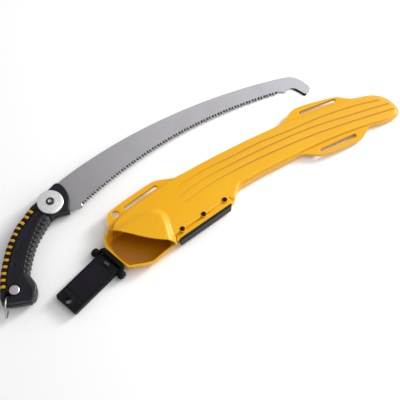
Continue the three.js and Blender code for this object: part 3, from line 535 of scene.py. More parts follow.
HOLE = (-124.48 + 0.4829 * 15, -118.73 + 0.8757 * 15)
PINS = [(-24.6, -11.9), (-70.4, -47.3), (-88.6, -68.2)]
BOLT = (-104.6, -103.6)
cc, ss = math.cos(rad(20)), math.sin(rad(20))
def plate_top(P):
    z = np.full(len(P), 11.0)
    r0 = np.hypot(P[:, 0], P[:, 1])
    dx, dy = P[:, 0] - 22, P[:, 1] - 3
    bx = np.abs(dx * cc + dy * ss) - 22; by = np.abs(-dx * ss + dy * cc) - 31
    inhead = np.minimum(r0 - 24.5, np.maximum(bx, by))
    z = 9.0 + 2.0 * sstep(inhead, -0.6, 1.6)
    d = sdist(body_outline, P)
    r = 2.4
    q = np.clip(d, 0, r)
    z = z - r + np.sqrt(np.maximum(0, r * r - (r - q) ** 2))
    e = sdist(plate, P)
    q = np.clip(e, 0, 0.7)
    z = np.where(d > 1.2, z - 0.7 + np.sqrt(np.maximum(0, 0.49 - (0.7 - q) ** 2)), z)
    # countersink for the rear bolt
    rb = np.hypot(P[:, 0] - BOLT[0], P[:, 1] - BOLT[1])
    z = np.minimum(z, 8.6 + (z - 8.6) * sstep(rb, 8.3, 9.2))
    rh = np.hypot(P[:, 0] - HOLE[0], P[:, 1] - HOLE[1])
    h = np.sqrt(np.maximum(0, 225 - (15 - np.clip(rh - 1.95, 0, 15)) ** 2))
    z = np.where(rh < 8, np.minimum(z, np.maximum(h, 1.3)), z)
    for p in PINS:
        rp = np.hypot(P[:, 0] - p[0], P[:, 1] - p[1])
        z = z - 0.5 * (1 - sstep(rp, 1.9, 2.7))
    # shallow dished thumb panel
    mid = sdist(plate, P)
    z = z - 0.35 * sstep(mid, 3.2, 4.2) * (r0 > 27)
    return z
guides = [inset(plate, k) for k in (0.25, 0.7)] + [inset(body_outline, k) for k in (0.5, 1.2, 2.4)]
guides += [circle(*BOLT, r) for r in (8.3, 8.75, 9.2)] + [circle(*HOLE, r, 28) for r in (3, 4.2, 5.6, 6.8, 8)] + [circle(*p, r, 16) for p in PINS for r in (2.7,)]
guides += [circle(0, 0, r, 80) for r in (23.9, 25.0, 26.1)]
holes = [circle(0, 0, 4.4, 32), circle(*HOLE, 2.05, 24)] + [circle(*p, 1.8, 16) for p in PINS]
v, f = relief_mesh(plate, holes, guides, [], 2.2, plate_top, lambda P: np.full(len(P), 1.25))
finish_mesh('side_plate_front_moulding', v, f, M_SAW, 'handle', PLATE, ['side_plate_front'], 38)
vb = [(p[0], p[1], -p[2]) for p in v]
finish_mesh('side_plate_back_moulding', vb, f, M_SAW, 'handle', PLATE, ['side_plate_back'], 38)

# rubber along the back with raised ribs and windows between them
def resample(path, step):
    seg = np.hypot(*np.diff(path, axis=0).T); s = np.r_[0, np.cumsum(seg)]
    n = int(s[-1] / step) + 1
    t = np.linspace(0, s[-1], n)
    return t, np.stack([np.interp(t, s, path[:, 0]), np.interp(t, s, path[:, 1])], 1)
s_sp, P_sp = resample(spine, 0.4)
L_sp = s_sp[-1]
WIN = [9.2 + (L_sp - 13.2) / 12 * i for i in range(13)]
def normals(P, sgn=1):
    t = np.gradient(P, axis=0); t /= np.hypot(t[:, 0], t[:, 1])[:, None]
    return np.stack([-t[:, 1], t[:, 0]], 1) * sgn
N_sp = normals(P_sp)
def section(width, top, r, low, m=7):
    """(n, z) round a band: n inwards from the edge"""
    pts = [(width, -top + 0.6), (width - 0.5, -top)] + [(u, -top) for u in np.linspace(width - 1.0, r + 0.6, 5)]
    for a in np.linspace(0, 90, m):
        pts.append((r - r * math.sin(rad(a)), -(top - r) - r * math.cos(rad(a))))
    for z in np.linspace(-(top - r), top - r, 7)[1:-1]:
        pts.append((0, z))
    for a in np.linspace(90, 0, m):
        pts.append((r - r * math.sin(rad(a)), (top - r) + r * math.cos(rad(a))))
    pts += [(u, top) for u in np.linspace(r + 0.6, width - 1.0, 5)] + [(width - 0.5, top), (width, top - 0.6)]
    return pts
secs = []
for s, p, n in zip(s_sp, P_sp, N_sp):
    w = min(abs(s - x) for x in WIN)
    low = 1.25 * float(1 - sstep(np.array(w), 2.35, 3.05))
    end = min(s, L_sp - s)
    e = 0.0 if end > 1.4 else (1.4 - math.sqrt(max(0, 1.4 ** 2 - (1.4 - end) ** 2))) * 0.8
    sec = section(BAND, 12.2, 3.6, low)
    ring = []
    for (u, z) in sec:
        k = low * float(1 - sstep(np.array(u), 8.2, 9.0)) * float(sstep(np.array(u), 0.2, 1.0))
        uu = u + 0.5 * low * (1 - u / 2.0 if u < 2 else 0) + (e if u < 4 else 0)
        zz = z - math.copysign(k * min(1, abs(z) / 9.0), z) if abs(z) > 1 else z
        zz -= math.copysign(e, zz) if abs(zz) > 3 else 0
        ring.append((p[0] + n[0] * uu, p[1] + n[1] * uu, zz))
    secs.append(ring)
v, f = tube_mesh(secs)
finish_mesh('spine_rubber', v, f, M_SAW, 'handle', RUB_S, ['spine_grip'], 42)
blocks = []
for x in WIN:
    secs = []
    half = 2.35
    for u_ in np.linspace(-1, 1, 13):
        s = x + u_ * half
        p = np.array([np.interp(s, s_sp, P_sp[:, 0]), np.interp(s, s_sp, P_sp[:, 1])])
        i = int(np.clip(s / 0.4, 0, len(N_sp) - 1)); n = N_sp[i]
        drop = 0.55 * (1 - math.sqrt(max(0, 1 - min(1, abs(u_)) ** 6)))
        sec = section(7.9, 12.2 - 0.35 - drop, 3.0, 0)
        secs.append([(p[0] + n[0] * (u + 1.0 + drop * 0.5), p[1] + n[1] * (u + 1.0 + drop * 0.5), z) for u, z in sec])
    blocks.append(tube_mesh(secs))
v, f = merge(*blocks)
finish_mesh('spine_yellow_bars', v, f, M_SAW, 'handle', YEL_IN, ['spine_insert'], 46)

# ribbed rubber under the fingers
tf, Pf = resample(finger, 0.4)
fi_t, fi_p = resample(f_in, 0.4)
t_n = tf / tf[-1]
inn = np.stack([np.interp(t_n, fi_t / fi_t[-1], fi_p[:, 0]), np.interp(t_n, fi_t / fi_t[-1], fi_p[:, 1])], 1)
ribs = [9 + 7.45 * i for i in range(12)]
secs = []; dark_f = []
for s, p, q in zip(tf, Pf, inn):
    g = min(abs(s - x) for x in ribs)
    cut = 1.9 * float(1 - sstep(np.array(g), 0.8, 2.3))
    # painted shade: 1 in the grooves between the ribs, fading to 0 on the rib crowns
    dark_f.append(float(1 - sstep(np.array(g), 0.9, 2.0)))
    d = q - p; W = np.hypot(*d); d = d / W
    end = min(s, tf[-1] - s)
    e = 0.0 if end > 2 else (2 - math.sqrt(max(0, 4 - (2 - end) ** 2))) * 0.9
    top = 12.2
    r = 3.8
    pts = []
    for sg in (-1, 1):
        half = [(W, 10.4), (W - 0.25, 11.2)]
        for uu in np.linspace(W - 1.0, r, 8):
            half.append((uu, 11.35 + 0.85 * math.sin(math.pi * 0.5 * min(1, (W - uu) / (W * 0.45)))))
        for a in np.linspace(0, 90, 8)[1:]:
            half.append((r - r * math.sin(rad(a)), (top - r) + r * math.cos(rad(a))))
        half += [(0, z) for z in np.linspace(top - r, 0, 5)[1:-1]]
        pts.append((sg, half))
    ring = []
    hi = [(u, z) for u, z in pts[1][1]]
    lo = [(u, -z) for u, z in reversed(pts[0][1])]
    for u, z in hi + [(0, 0)] + lo:
        k = cut * float(1 - sstep(np.array(u), W - 4.6, W - 1.4))
        uu = u + (k * 0.9 if u < 2.5 else 0) * (1 - u / 2.5 if u < 2.5 else 0) + (e if u < 4 else 0)
        zz = z - math.copysign(k, z) * (1 if abs(z) > 7 else 0)
        zz -= math.copysign(e, zz) if abs(zz) > 3 else 0
        ring.append((p[0] + d[0] * uu, p[1] + d[1] * uu, zz))
    secs.append(ring)
v, f = tube_mesh(secs)
finger_o = finish_mesh('finger_rubber', v, f, M_SAW, 'handle', RUB, ['finger_grip'], 44)
# carry the groove shade onto the mesh vertices as the painted shade attribute
co = np.zeros(len(finger_o.data.vertices) * 3); finger_o.data.vertices.foreach_get('co', co); co = co.reshape(-1, 3) * 1000
dk = np.zeros(len(co))
for i, c in enumerate(co):
    j = int(np.argmin(np.hypot(Pf[:, 0] - c[0], Pf[:, 1] - c[1])))
    k = int(np.argmin(np.hypot(inn[:, 0] - c[0], inn[:, 1] - c[1])))
    u_ = np.hypot(*(Pf[j] - c[:2])); w_ = np.hypot(*(inn[k] - c[:2]))
    a_ = dark_f[int(round((j * w_ + k * u_) / max(u_ + w_, 1e-6)))]
    dk[i] = a_ if w_ > 1.4 else 0
a = finger_o.data.attributes.new('painted_shade', 'FLOAT', 'POINT'); a.data.foreach_set('value', dk.astype(np.float32))
# ------------------------------------------------------------------ CLAMP DISC, WASHER, RING
prof = [(4.35, 9.35), (18.4, 9.35), (19.2, 9.6), (19.5, 10.1), (19.5, 11.3), (19.35, 11.75), (18.9, 12.15), (18.2, 12.45)]
for r in np.linspace(17.4, 6.9, 14):
    prof.append((r, 12.5 + 1.35 * (1 - (r / 18.5) ** 2)))
prof += [(6.6, 13.65), (6.35, 13.4), (6.3, 12.0), (4.35, 11.95), (4.35, 9.35)]
v, f = lathe_mesh(prof, 96)
finish_mesh('clamp_disc_turned', v, f, M_SAW, 'clamp', DISC, ['clamp_disc'], 30)
def hexed(r, h, k):
    return [(r * k * math.cos(rad(60 * i)), r * k * math.sin(rad(60 * i)), h) for i in range(6)]
n_ = 48
rows = []
for r, h in [(4.0, -8.7), (4.0, 12.2), (5.75, 12.2), (5.8, 12.5), (5.8, 14.3), (5.62, 14.75), (5.2, 15.05), (4.6, 15.15), (3.8, 15.1), (3.35, 15.0)]:
    rows.append([(r * math.cos(2 * math.pi * i / n_), r * math.sin(2 * math.pi * i / n_), h) for i in range(n_)])
def hex_ring(r, h):
    out = []
    for i in range(n_):
        a = 2 * math.pi * i / n_; b = (math.degrees(a) % 60) - 30
        q = r * math.cos(rad(30)) / math.cos(rad(b))
        out.append((q * math.cos(a), q * math.sin(a), h))
    return out
rows += [hex_ring(3.1, 14.85), hex_ring(2.9, 14.6), hex_ring(2.85, 13.3), hex_ring(2.2, 13.05), hex_ring(0.8, 12.95)]
v, f = tube_mesh(rows)
finish_mesh('clamp_screw_turned', v, f, M_SAW, 'clamp', [DARKS, SCREW], ['clamp_screw'], 32, lambda c: 1 if math.hypot(c.x, c.y) < 2.75 and c.z > 10 else 0)
sec = []
for i in range(72):
    a = 2 * math.pi * i / 72
    u = (0.4829, 0.8757)
    c = (-124.48, -118.73)
    ring = []
    for j in range(16):
        b = 2 * math.pi * j / 16
        R = 15 + 1.15 * math.cos(b)
        ring.append((c[0] + u[0] * R * math.cos(a) - u[1] * 1.15 * math.sin(b), c[1] + u[1] * R * math.cos(a) + u[0] * 1.15 * math.sin(b), R * math.sin(a)))
    sec.append(ring)
v, f = tube_mesh(sec + [sec[0]], False)
finish_mesh('lanyard_ring_wire', v, f, M_SAW, 'ring', RING, ['lanyard_ring'], 60)

# ------------------------------------------------------------------ SCABBARD
rimTop = [(-59.4, 18.4), (-56.6, 25), (-54.2, 31.2), (-51.6, 36.4), (-47.4, 40.4), (-41.1, 42.8), (-27, 46.3), (-15, 48.9), (-3.8, 51.1), (7.1, 53.1), (18.2, 55.1), (29.1, 56.6), (38, 56.6), (47, 54.2), (56.5, 50.9), (65, 48.4), (75, 48), (86, 48.9), (97, 50), (118, 51.7), (140, 53.2), (162, 54.2), (183, 55), (205, 55.5), (226, 55.7), (244, 55.6), (252, 56), (259, 58), (266, 61.4), (274, 65.8), (281, 69.2), (288, 70.9), (298.2, 70.6), (308.8, 69.4), (331.8, 65.4), (352, 61.4), (358.5, 59.2), (364, 55.4), (369.5, 50.8), (375, 47.4), (381, 45)]
rimTip = [(388, 43), (399, 40.2), (409.9, 36.2), (419.4, 29.4), (426.2, 20.6), (430.4, 10), (431.8, -1), (429.8, -8.4), (423.6, -13.6), (412.6, -15), (401, -14.6), (392, -13.3)]
rimLow = [(382, -11), (375.6, -10.6), (371, -12.4), (365.6, -16), (359, -20.4), (352, -23.2), (340, -24.2), (322.3, -24.4), (304.9, -23.4), (290, -21.6), (281.4, -19.2), (274, -14.6), (266.4, -9.6), (260, -6.2), (252, -4.4), (235, -5), (218, -5.3), (200, -6), (182, -6.8), (164, -8.3), (147, -9.8), (141, -12.2), (135.4, -17.6), (127, -26.3), (121.5, -30.6)]
ledge = [(24.5, -47.6), (119.3, -31.2)]
rim = smooth(rimTop + rimTip + rimLow, 1.3)
mouth = smooth([(16.4, -50.8), (9, -46), (-3.3, -38.6), (-15.2, -30), (-26.5, -20.4), (-37.5, -10.2), (-48.5, -0.4), (-58.2, 9.6)], 1.3)
mouth_back = smooth([(19, -49.6), (1.8, -53.8), (-13.6, -58.2), (-22.9, -60.6), (-28, -60.4), (-37.8, -58.2), (-51.6, -53.6), (-57, -51.8), (-61, -50)], 1.3)
mouth_back2 = smooth([(-61, -50), (-75.2, -3.6), (-72.6, 2.1), (-71, 8.4), (-67.6, 12.2), (-61.9, 13.3)], 1.3)
out_f = np.vstack([rim, [ledge[1], ledge[0], (19, -49.6)], mouth, [(-61.4, 13.2)]])
out_b = np.vstack([rim, [ledge[1], ledge[0]], mouth_back[:-1], mouth_back2])
chTop = [(-50, 18), (-38, 23.6), (-24.7, 27.8), (-10, 31.2), (5, 34.4), (20, 37.5), (34.4, 40.4), (50, 43.6), (65, 46), (75, 46.5), (86, 47.3), (97, 48.4), (118, 50.1), (140, 51.6), (162, 52.6), (183, 53.4), (205, 53.9), (226, 54), (247, 53.8), (268, 53.4), (290, 52.6), (310, 51.4), (331, 49.8), (353, 47.4), (369, 45)]
chTip = [(378, 43.2), (388, 40.9), (398.4, 37.8), (408.4, 33.6), (417.2, 27), (423.8, 18.8), (427.8, 9), (429.2, -1), (427.4, -7), (421.6, -11.6), (412, -13), (401, -12.6), (392, -11.5)]
chLow = [(377, -8.8), (358, -6.6), (340, -5), (324, -4), (306, -3.2), (289, -2.8), (271, -2.7), (253, -2.8), (235, -3.4), (218, -3.8), (200, -4.5), (182, -5.3), (164, -6.8), (148, -8.4), (142.4, -10.9), (136.6, -16.8), (128.2, -25.4), (121.5, -25.2)]
lin = offset([ledge[0], ledge[1]], 8)
chan = np.vstack([smooth(chTop + chTip + chLow, 1.6), [(120, -22.9), tuple(lin[1]), (16, -41.2), (-4, -44), (-40, -44), (-64, -30), (-66, 0)]])
chan_b = inset(chan, -1.3)
humpF = smooth([(26.7, -12.3), (26.9, -3), (24, 4.2), (18.5, 10.2), (10.5, 14.3), (1.6, 15.9), (-12, 16), (-25, 15.6), (-41.8, 14.2), (-58, 11.6), (-74, 8), (-84, -20), (-80, -60), (13, -66), (18.2, -47.7), (22, -33.8), (24.9, -22.4)], 1.5, True)
humpB = np.vstack([smooth([(22, -33.8), (24.9, -22.4), (26.7, -12.3), (26.9, -3), (24, 4.2), (18.5, 10.2), (10.5, 14.3), (1.6, 15.9), (-12, 16), (-25, 15.6), (-41.8, 14.2), (-58, 12), (-68.2, 9.4)], 1.5), smooth([(-70.6, 2.1), (-73.2, -4), (-59.6, -48.6), (-51, -51.8), (-37.6, -56.3), (-27.8, -58.6), (-23, -58.8), (-14, -56.4), (1.6, -52), (17.4, -47.8)], 1.5)])
ledge_poly = np.array([ledge[0], ledge[1], (122.4, -28.6), (121, -20.4), (lin[1][0] - 0.5, lin[1][1] + 2.5), (18.4, -44.6), (19, -48.5)])
gl = offset([ledge[0], ledge[1]], 15.4)
guard_poly = np.array([(ledge[0][0] - 6, ledge[0][1] - 8), (ledge[1][0] + 1.6, ledge[1][1] - 8), (gl[1][0] - 2.4, gl[1][1]), (gl[0][0] + 2.0, gl[0][1])])
SEAM, LIP, WALL = 0.15, 2.65, 2.2
TAN = math.tan(rad(1.555))
def taper(x):
    return 1 - ((np.maximum(x, -100) - 60) / 370) * (1 - 5.6 / 10.5)
def rest(x):
    return (17.0 - x * TAN) / 17.0
def band(d, base, H, r, wall):
    q = np.clip(d - wall, 0, r)
    up = base + (H - r - base) * np.clip(d / wall, 0, 1)
    return np.where(d <= 0, -99.0, np.where(d < wall, up, H - r + np.sqrt(np.maximum(0, r * r - (r - q) ** 2))))
def chamfer(d, T, B, rise, k=1.35):
    q = np.clip(d, 0, B) / B
    return np.where(d <= 0, -99.0, T - rise * (1 - q) ** k)
def bulge(d, T, B, rise=None):
    rise = B if rise is None else rise
    q = np.clip(d, 0, B)
    return np.where(d <= 0, -99.0, T - rise + rise * np.sqrt(np.maximum(0, 1 - ((B - q) / B) ** 2)))
grooves = [smooth([(65.2, 29.5), (102.2, 35.5), (154.9, 37.9), (208.6, 40.4), (260.4, 38.1), (313.8, 37.4), (373.8, 30.9), (411.5, 23.2)], 3),
           smooth([(56.5, 13), (94.9, 22), (148.5, 26.4), (219.4, 28.7), (289.6, 27.2), (357.4, 19.4), (421.9, 10.5)], 3),
           smooth([(58.4, 0.7), (105.7, 10.6), (159.4, 15), (212.3, 16.4), (282.2, 14.8), (350.5, 8.5), (423.8, -0.9)], 3)]
def groove_depth(P):
    g = np.zeros(len(P))
    for l in grooves:
        d = ldist(l, P)
        g = np.maximum(g, np.exp(-(d / 1.15) ** 2))
    return g * (0.30 + 0.70 * sstep(P[:, 0], 60, 200))
def front_top(P):
    dO = sdist(out_f, P)
    q = np.clip(dO, 0, 0.9)
    z = LIP - 0.9 + np.sqrt(np.maximum(0, 0.81 - (0.9 - q) ** 2))
    dC = sdist(chan, P); H = 10.5 * taper(P[:, 0])
    zc = band(dC, LIP, H, 2.8, 0.5) + 0.5 * sstep(dC, 3, 22)
    zc = zc - 0.85 * groove_depth(P)
    zl = band(sdist(ledge_poly, P), LIP, 8.0, 1.1, 0.3)
    dH = sdist(humpF, P)
    zh = chamfer(dH, 17.0, 11.5, 8.5)
    for p in RIV:
        r_ = np.hypot(P[:, 0] - p[0], P[:, 1] - p[1])
        zl = np.maximum(zl, 11.0 * (1 - sstep(r_, 4.5, 5.1)) + LIP * sstep(r_, 4.5, 5.1))
    z = np.maximum(z, np.maximum(zc, zl))
    return np.where(dH > 0, smax(zh, z, 1.0), z)
def front_in(P):
    dC = sdist(chan, P); H = 10.5 * taper(P[:, 0])
    zc = band(dC - WALL, SEAM, H - WALL, 1.6, 0.3)
    zh = chamfer(sdist(humpF, P) - WALL, 17.0 - WALL, 11.5, 8.5)
    z = np.maximum(np.maximum(np.full(len(P), SEAM), zc), zh)
    return np.maximum(z, np.where(sdist(guard_poly, P) > 0, 5.6, -99))
SLOTS = [capsule((-22.4, 36.3), (32.4, 47.2), 3), capsule((293, 60), (350.6, 55.9), 3), capsule((288, -12.6), (345.6, -13.6), 3)]
EYE = circle(-39.6, 33.9, 5.4, 44)
RIV = [(34.4, -36.6), (73.3, -29.8), (112.2, -23)]
s_holes = SLOTS + [EYE] + [circle(*p, 2.5, 24) for p in RIV]
g_f = [inset(out_f, k) for k in (0.3, 0.9)] + [inset(chan, k) for k in (0, 0.5, 1.1, 1.9, 3.3)] + [inset(humpF, k) for k in (0.02, 2.0, 4.2, 6.6, 9, 11.5)] + [ledge_poly, inset(ledge_poly, 0.3), inset(ledge_poly, 1.4), guard_poly]
g_f += [inset(chan, WALL), inset(chan, WALL + 0.3)] + [circle(*p, r, 28) for p in RIV for r in (4.45, 4.75, 5.1)]
g_l = []
for l in grooves:
    for k in (-1.9, -0.9, 0, 0.9, 1.9):
        g_l.append(offset(l, k))
EDGE_R = 0.6
def soften_holes(P, z, sgn=1):
    d = np.full(len(P), 99.0)
    for h in SLOTS + [EYE]:
        d = np.minimum(d, -sdist(h, P))
    q = np.clip(d, 0, EDGE_R)
    return z - sgn * (EDGE_R - np.sqrt(np.maximum(0, EDGE_R ** 2 - (EDGE_R - q) ** 2)))
g_h = [inset(h, -k) for h in SLOTS + [EYE] for k in (0.2, 0.6)]
v, f = relief_mesh(out_f, s_holes, g_f + g_h, g_l, 3.2, lambda P: soften_holes(P, front_top(P)), front_in)
sf = finish_mesh('scabbard_front_moulding', v, f, M_SCAB, 'scabbard', YEL, ['scabbard_front_shell'], 40)
def back_out(P):
    dO = sdist(out_b, P)
    q = np.clip(dO, 0, 0.9)
    z = LIP - 0.9 + np.sqrt(np.maximum(0, 0.81 - (0.9 - q) ** 2))
    dC = sdist(chan_b, P); H = 17.0 * rest(P[:, 0])
    zc = band(dC, LIP, H, 2.2, 0.5)
    zl = band(sdist(ledge_poly, P), LIP, 8.0, 1.1, 0.3)
    dH = sdist(humpB, P)
    zh = bulge(dH, 16.5, 8.5, 9.5)
    z = np.maximum(z, np.maximum(zc, zl))
    for p in RIV:
        r_ = np.hypot(P[:, 0] - p[0], P[:, 1] - p[1])
        z = np.where(r_ < 4.1, np.minimum(z, 10.7), z)
    return np.maximum(zh, z)
def back_in(P):
    dC = sdist(chan_b, P); H = (17.0 - 2.64) * rest(P[:, 0])
    zc = band(dC - WALL, SEAM, H, 2.0, 0.3)
    zh = bulge(sdist(humpB, P) - WALL, 16.5 - WALL, 8.5, 9.5)
    z = np.maximum(np.full(len(P), SEAM), zc)
    z = np.where(zh > 0, np.minimum(smax(zh, z, 3.0), 14.36), z)
    return np.maximum(z, np.where(sdist(guard_poly, P) > 0, 5.6, -99))
g_b = [inset(out_b, k) for k in (0.3, 0.9)] + [inset(chan_b, k) for k in (0, 0.5, 1.2, 2.7)] + [inset(humpB, k) for k in (0.02, 1.2, 2.22, 3.4, 5, 7.2, 8.5, 10.7)] + [ledge_poly, guard_poly, inset(chan_b, WALL + 0.3)] + [circle(*p, 4.1, 24) for p in RIV]
v, f = relief_mesh(out_b, s_holes, g_b + g_h, [], 3.6, lambda P: soften_holes(P, -back_in(P), 1), lambda P: -back_out(P))
sb = finish_mesh('scabbard_back_moulding', v, f, M_SCAB, 'scabbard', YEL, ['scabbard_back_shell'], 40)
# painted shade in the front shell's grooves and deep inside the back shell's mouth scoop, as an attribute of the mesh
for o, fn in ((sf, lambda P, z: np.where(z > 2, groove_depth(P), 0)), (sb, lambda P, z: np.where(z > -back_out(P) + 1.0, sstep(sdist(humpB, P), 3.0, 9.0), 0.0)),):
    co = np.zeros(len(o.data.vertices) * 3); o.data.vertices.foreach_get('co', co); co = co.reshape(-1, 3) * 1000
    R3 = np.array(M_SCAB.to_3x3()); co = (co - np.array(M_SCAB.translation) * 1000) @ R3
    a = o.data.attributes.new('painted_shade', 'FLOAT', 'POINT')
    a.data.foreach_set('value', fn(co[:, :2], co[:, 2]).astype(np.float32))

# rivet heads
for i, p in enumerate(RIV):
    prof = [(0, -12.35), (2.4, -12.1), (3.4, -11.8), (3.8, -11.4), (3.8, -11.1), (2.2, -11.1), (2.2, 11.1), (3.8, 11.1), (3.8, 11.35), (3.4, 11.75), (2.4, 12.1), (1.3, 12.3), (1.1, 12.05), (0, 12.0)]
    v, f = lathe_mesh(prof, 40, 'z', p)
    finish_mesh(f'guard_rivet_{i + 1}_turned', v, f, M_SCAB, 'scabbard', RIVET, [f'guard_rivet_{i + 1}'], 35)

# ------------------------------------------------------------------ HANGER
L, W2 = 87.5, 20.0
def rrect(x0, x1, y0, y1, r, r0=None):
    pts = []
    for cx, cy, a0, rr in ((x1 - r, y1 - r, 0, r), (x0 + (r0 or r), y1 - (r0 or r), 90, r0 or r), (x0 + (r0 or r), y0 + (r0 or r), 180, r0 or r), (x1 - r, y0 + r, 270, r)):
        pts += [(cx + rr * math.cos(rad(a0 + t)), cy + rr * math.sin(rad(a0 + t))) for t in np.linspace(0, 90, 9)]
    return np.array(pts)
leaf = rrect(2.0, L, -W2, W2, 3.2, 0.4)
panel = rrect(9.0, 64.0, -16.6, 16.6, 1.2)
foot = rrect(67.0, L - 3.2, -16.6, 16.6, 1.6)
hang_hole = circle(L - 7.7, -0.7, 5.0, 40)
def leaf_top(P):
    z = np.full(len(P), 4.8)
    d = sdist(leaf, P)
    q = np.clip(d, 0, 0.8)
    z = z - 0.8 + np.sqrt(np.maximum(0, 0.64 - (0.8 - q) ** 2))
    z -= 0.45 * sstep(sdist(panel, P), 0, 0.5)
    z -= 0.35 * sstep(sdist(foot, P), 0, 0.5)
    z += 0.35 * (1 - sstep(np.hypot(P[:, 0] - (L - 7.7), P[:, 1] + 0.7), 6.6, 7.1))
    return np.minimum(z, 4.8)
hg = [inset(leaf, k) for k in (0.25, 0.8)] + [panel, inset(panel, 0.25), inset(panel, 0.5), foot, inset(foot, 0.5), circle(L - 7.7, -0.7, 6.6, 40), circle(L - 7.7, -0.7, 7.1, 40)]
pocket = np.array([(0.1, -4.6), (7.8, -4.6), (7.8, 4.2), (0.1, 4.2)])
gap_line = [np.array([(65.4, -W2), (65.4, W2)])]
leaf_t = rrect(2.0, L, -W2, W2, 3.2, 0.4)
pk = np.array([(2.0, -5.1), (6.7, -5.1), (6.7, 4.1), (2.0, 4.1)])
outline_top = np.vstack([leaf[:18], [(2.0, 4.2), (6.7, 4.2), (6.7, -5.2), (2.0, -5.2)], leaf[18:]])
def leaf_bot(P):
    return np.where(P[:, 0] > 65.4, 0.02, 2.5)
v1, f1 = relief_mesh(outline_top, [hang_hole], hg, gap_line + [np.array([(65.45, -W2), (65.45, W2)])], 2.4, leaf_top, leaf_bot)
v2, f2 = relief_mesh(leaf, [hang_hole], hg, gap_line + [np.array([(65.45, -W2), (65.45, W2)])], 2.4, leaf_top, leaf_bot)
v2 = [(p[0], p[1], -p[2]) for p in v2]
bar = [(0, -W2 + 0.4)] + [(5.2 - 0.8 + 0.8 * math.sin(rad(a)), -W2 + 1.2 - 0.8 * math.cos(rad(a))) for a in (0, 30, 60, 90)]
bar = [(2.3, -W2 + 0.4), (4.4, -W2 + 0.4), (5.0, -W2 + 0.8), (5.2, -W2 + 1.4), (5.2, W2 - 1.4), (5.0, W2 - 0.8), (4.4, W2 - 0.4), (2.3, W2 - 0.4), (2.3, -W2 + 0.4)]
vb_, fb_ = lathe_mesh(bar, 48, 'y')
v, f = merge((v1, f1), (v2, f2), (vb_, fb_))
def hang_pick(c):
    p = np.array([[c.x, c.y]])
    return 1 if (abs(c.z) > 3.9 and sdist(panel, p)[0] > 0.2) or (abs(c.z) > 4.1 and sdist(foot, p)[0] > 0.3 and c.x < L - 14) else 0
finish_mesh('belt_hanger_moulding', v, f, M_HANG, 'hanger', [BLACK, GRID], ['belt_hanger'], 36, hang_pick)
knobY = W2 + 0.5 + 2.2 + 0.3
kp = [(2.0, -0.6), (2.0, 0.0), (4.2, 0.0), (5.2, 0.25), (6.0, 0.8), (6.5, 1.7), (6.7, 2.9), (6.7, 4.4), (6.45, 5.7), (5.9, 6.7), (5.0, 7.5), (3.8, 8.0), (2.2, 8.2), (0, 8.2)]
v, f = lathe_mesh([(0, 2 * knobY * -1 - 3.0)] + [(2.0, -2 * knobY - 3.0)] + kp, 56, 'y')
v = [(x, -(y + knobY), z) for x, y, z in v]
finish_mesh('hanger_pin_turned', v, f, M_HANG, 'scabbard', BLACK, ['hanger_pin'], 35)
kc = [(2.3, 0.0)] + kp[2:]
v, f = lathe_mesh([(0, 3.6), (2.3, 3.6)] + kc, 56, 'y')
v = [(x, y + knobY, z) for x, y, z in v]
finish_mesh('hanger_pin_cap_turned', v, f, M_HANG, 'scabbard', BLACK, ['hanger_pin_cap'], 35)
# ------------------------------------------------------------------ CAD nodes that keep their shape: softened edges and a material
keep = {'handle_core': CORE, 'spring_washer': SCREW, 'clamp_nut': SCREW, 'rear_bolt': SCREW, 'rear_nut': SCREW,
        'handle_pin_1': PINB, 'handle_pin_2': PINB, 'handle_pin_3': PINB, 'tooth_guard': GUARD, 'hanger_bracket': BLACK, 'hanger_catch': CATCH}
for n, m in keep.items():
    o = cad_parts[n]
    if len(o.material_slots):
        for s in o.material_slots:
            s.link = 'OBJECT'; s.material = m
    else:
        o.data.materials.append(m)
    b = o.modifiers.new('edge', 'BEVEL'); b.width = 0.00035 if n != 'tooth_guard' else 0.0007; b.segments = 3; b.limit_method = 'ANGLE'; b.angle_limit = rad(32)
    b.harden_normals = False
    b.use_clamp_overlap = True

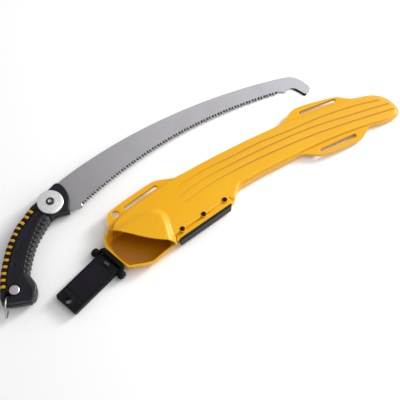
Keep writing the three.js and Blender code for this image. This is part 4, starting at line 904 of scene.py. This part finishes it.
# ------------------------------------------------------------------ FLOOR, LIGHTS, CAMERA
def stage_floor():
    me = bpy.data.meshes.new('floor')
    s = 6.0
    me.from_pydata([(-s, -s, 0), (s, -s, 0), (s, s, 0), (-s, s, 0)], [], [(0, 1, 2, 3)])
    o = bpy.data.objects.new('floor', me); scene.collection.objects.link(o)
    m = bpy.data.materials.new('floor'); m.use_nodes = True
    b = m.node_tree.nodes['Principled BSDF']
    b.inputs['Base Color'].default_value = (0.96, 0.96, 0.96, 1); b.inputs['Roughness'].default_value = 0.9
    b.inputs['Specular IOR Level'].default_value = 0.1
    me.materials.append(m)
    o.location.z = -0.0004
    return o
stage_floor()
w = bpy.data.worlds.new('studio'); scene.world = w; w.use_nodes = True
w.node_tree.nodes['Background'].inputs['Color'].default_value = (1, 1, 1, 1)
w.node_tree.nodes['Background'].inputs['Strength'].default_value = 0.5
target = Vector((BENCH[0] * 0.001, BENCH[1] * 0.001, BENCH[2] * 0.001))
R_CAM = Matrix.Rotation(rad(-28.286), 4, 'Z')
def area_light(name, loc, size, size_y, power, aim=None, color=(1, 1, 1)):
    l = bpy.data.lights.new(name, 'AREA'); l.shape = 'RECTANGLE'; l.size = size; l.size_y = size_y; l.energy = power; l.color = color
    o = bpy.data.objects.new(name, l); scene.collection.objects.link(o)
    p = target + (R_CAM @ Vector(loc))
    o.location = p
    a = target if aim is None else target + (R_CAM @ Vector(aim))
    o.rotation_euler = (a - p).to_track_quat('-Z', 'Y').to_euler()
    return o
# in the picture's directions: x right, y away, z up
area_light('key_right', (1.6, 1.0, 1.3), 0.9, 0.7, 27)
area_light('top_right', (0.8, 0.05, 1.95), 1.4, 1.1, 9)
area_light('strip_back_right', (1.45, 0.95, 0.80), 0.24, 0.5, 13, (-0.1, -0.06, 0))
area_light('strip_right', (1.1, -0.2, 0.55), 0.25, 0.9, 2.5, (-0.2, -0.1, 0))
cam = bpy.data.cameras.new('camera'); cam.lens = 100; cam.sensor_width = 36; cam.clip_start = 0.01; cam.clip_end = 50
co = bpy.data.objects.new('camera', cam); scene.collection.objects.link(co)
co.location = target + Vector((-0.36468, -0.67770, 1.47838))
co.rotation_euler = Euler((rad(27.5), 0, rad(-28.286)), 'XYZ')
scene.camera = co
scene.view_settings.view_transform = 'Standard'
scene.view_settings.look = 'None'
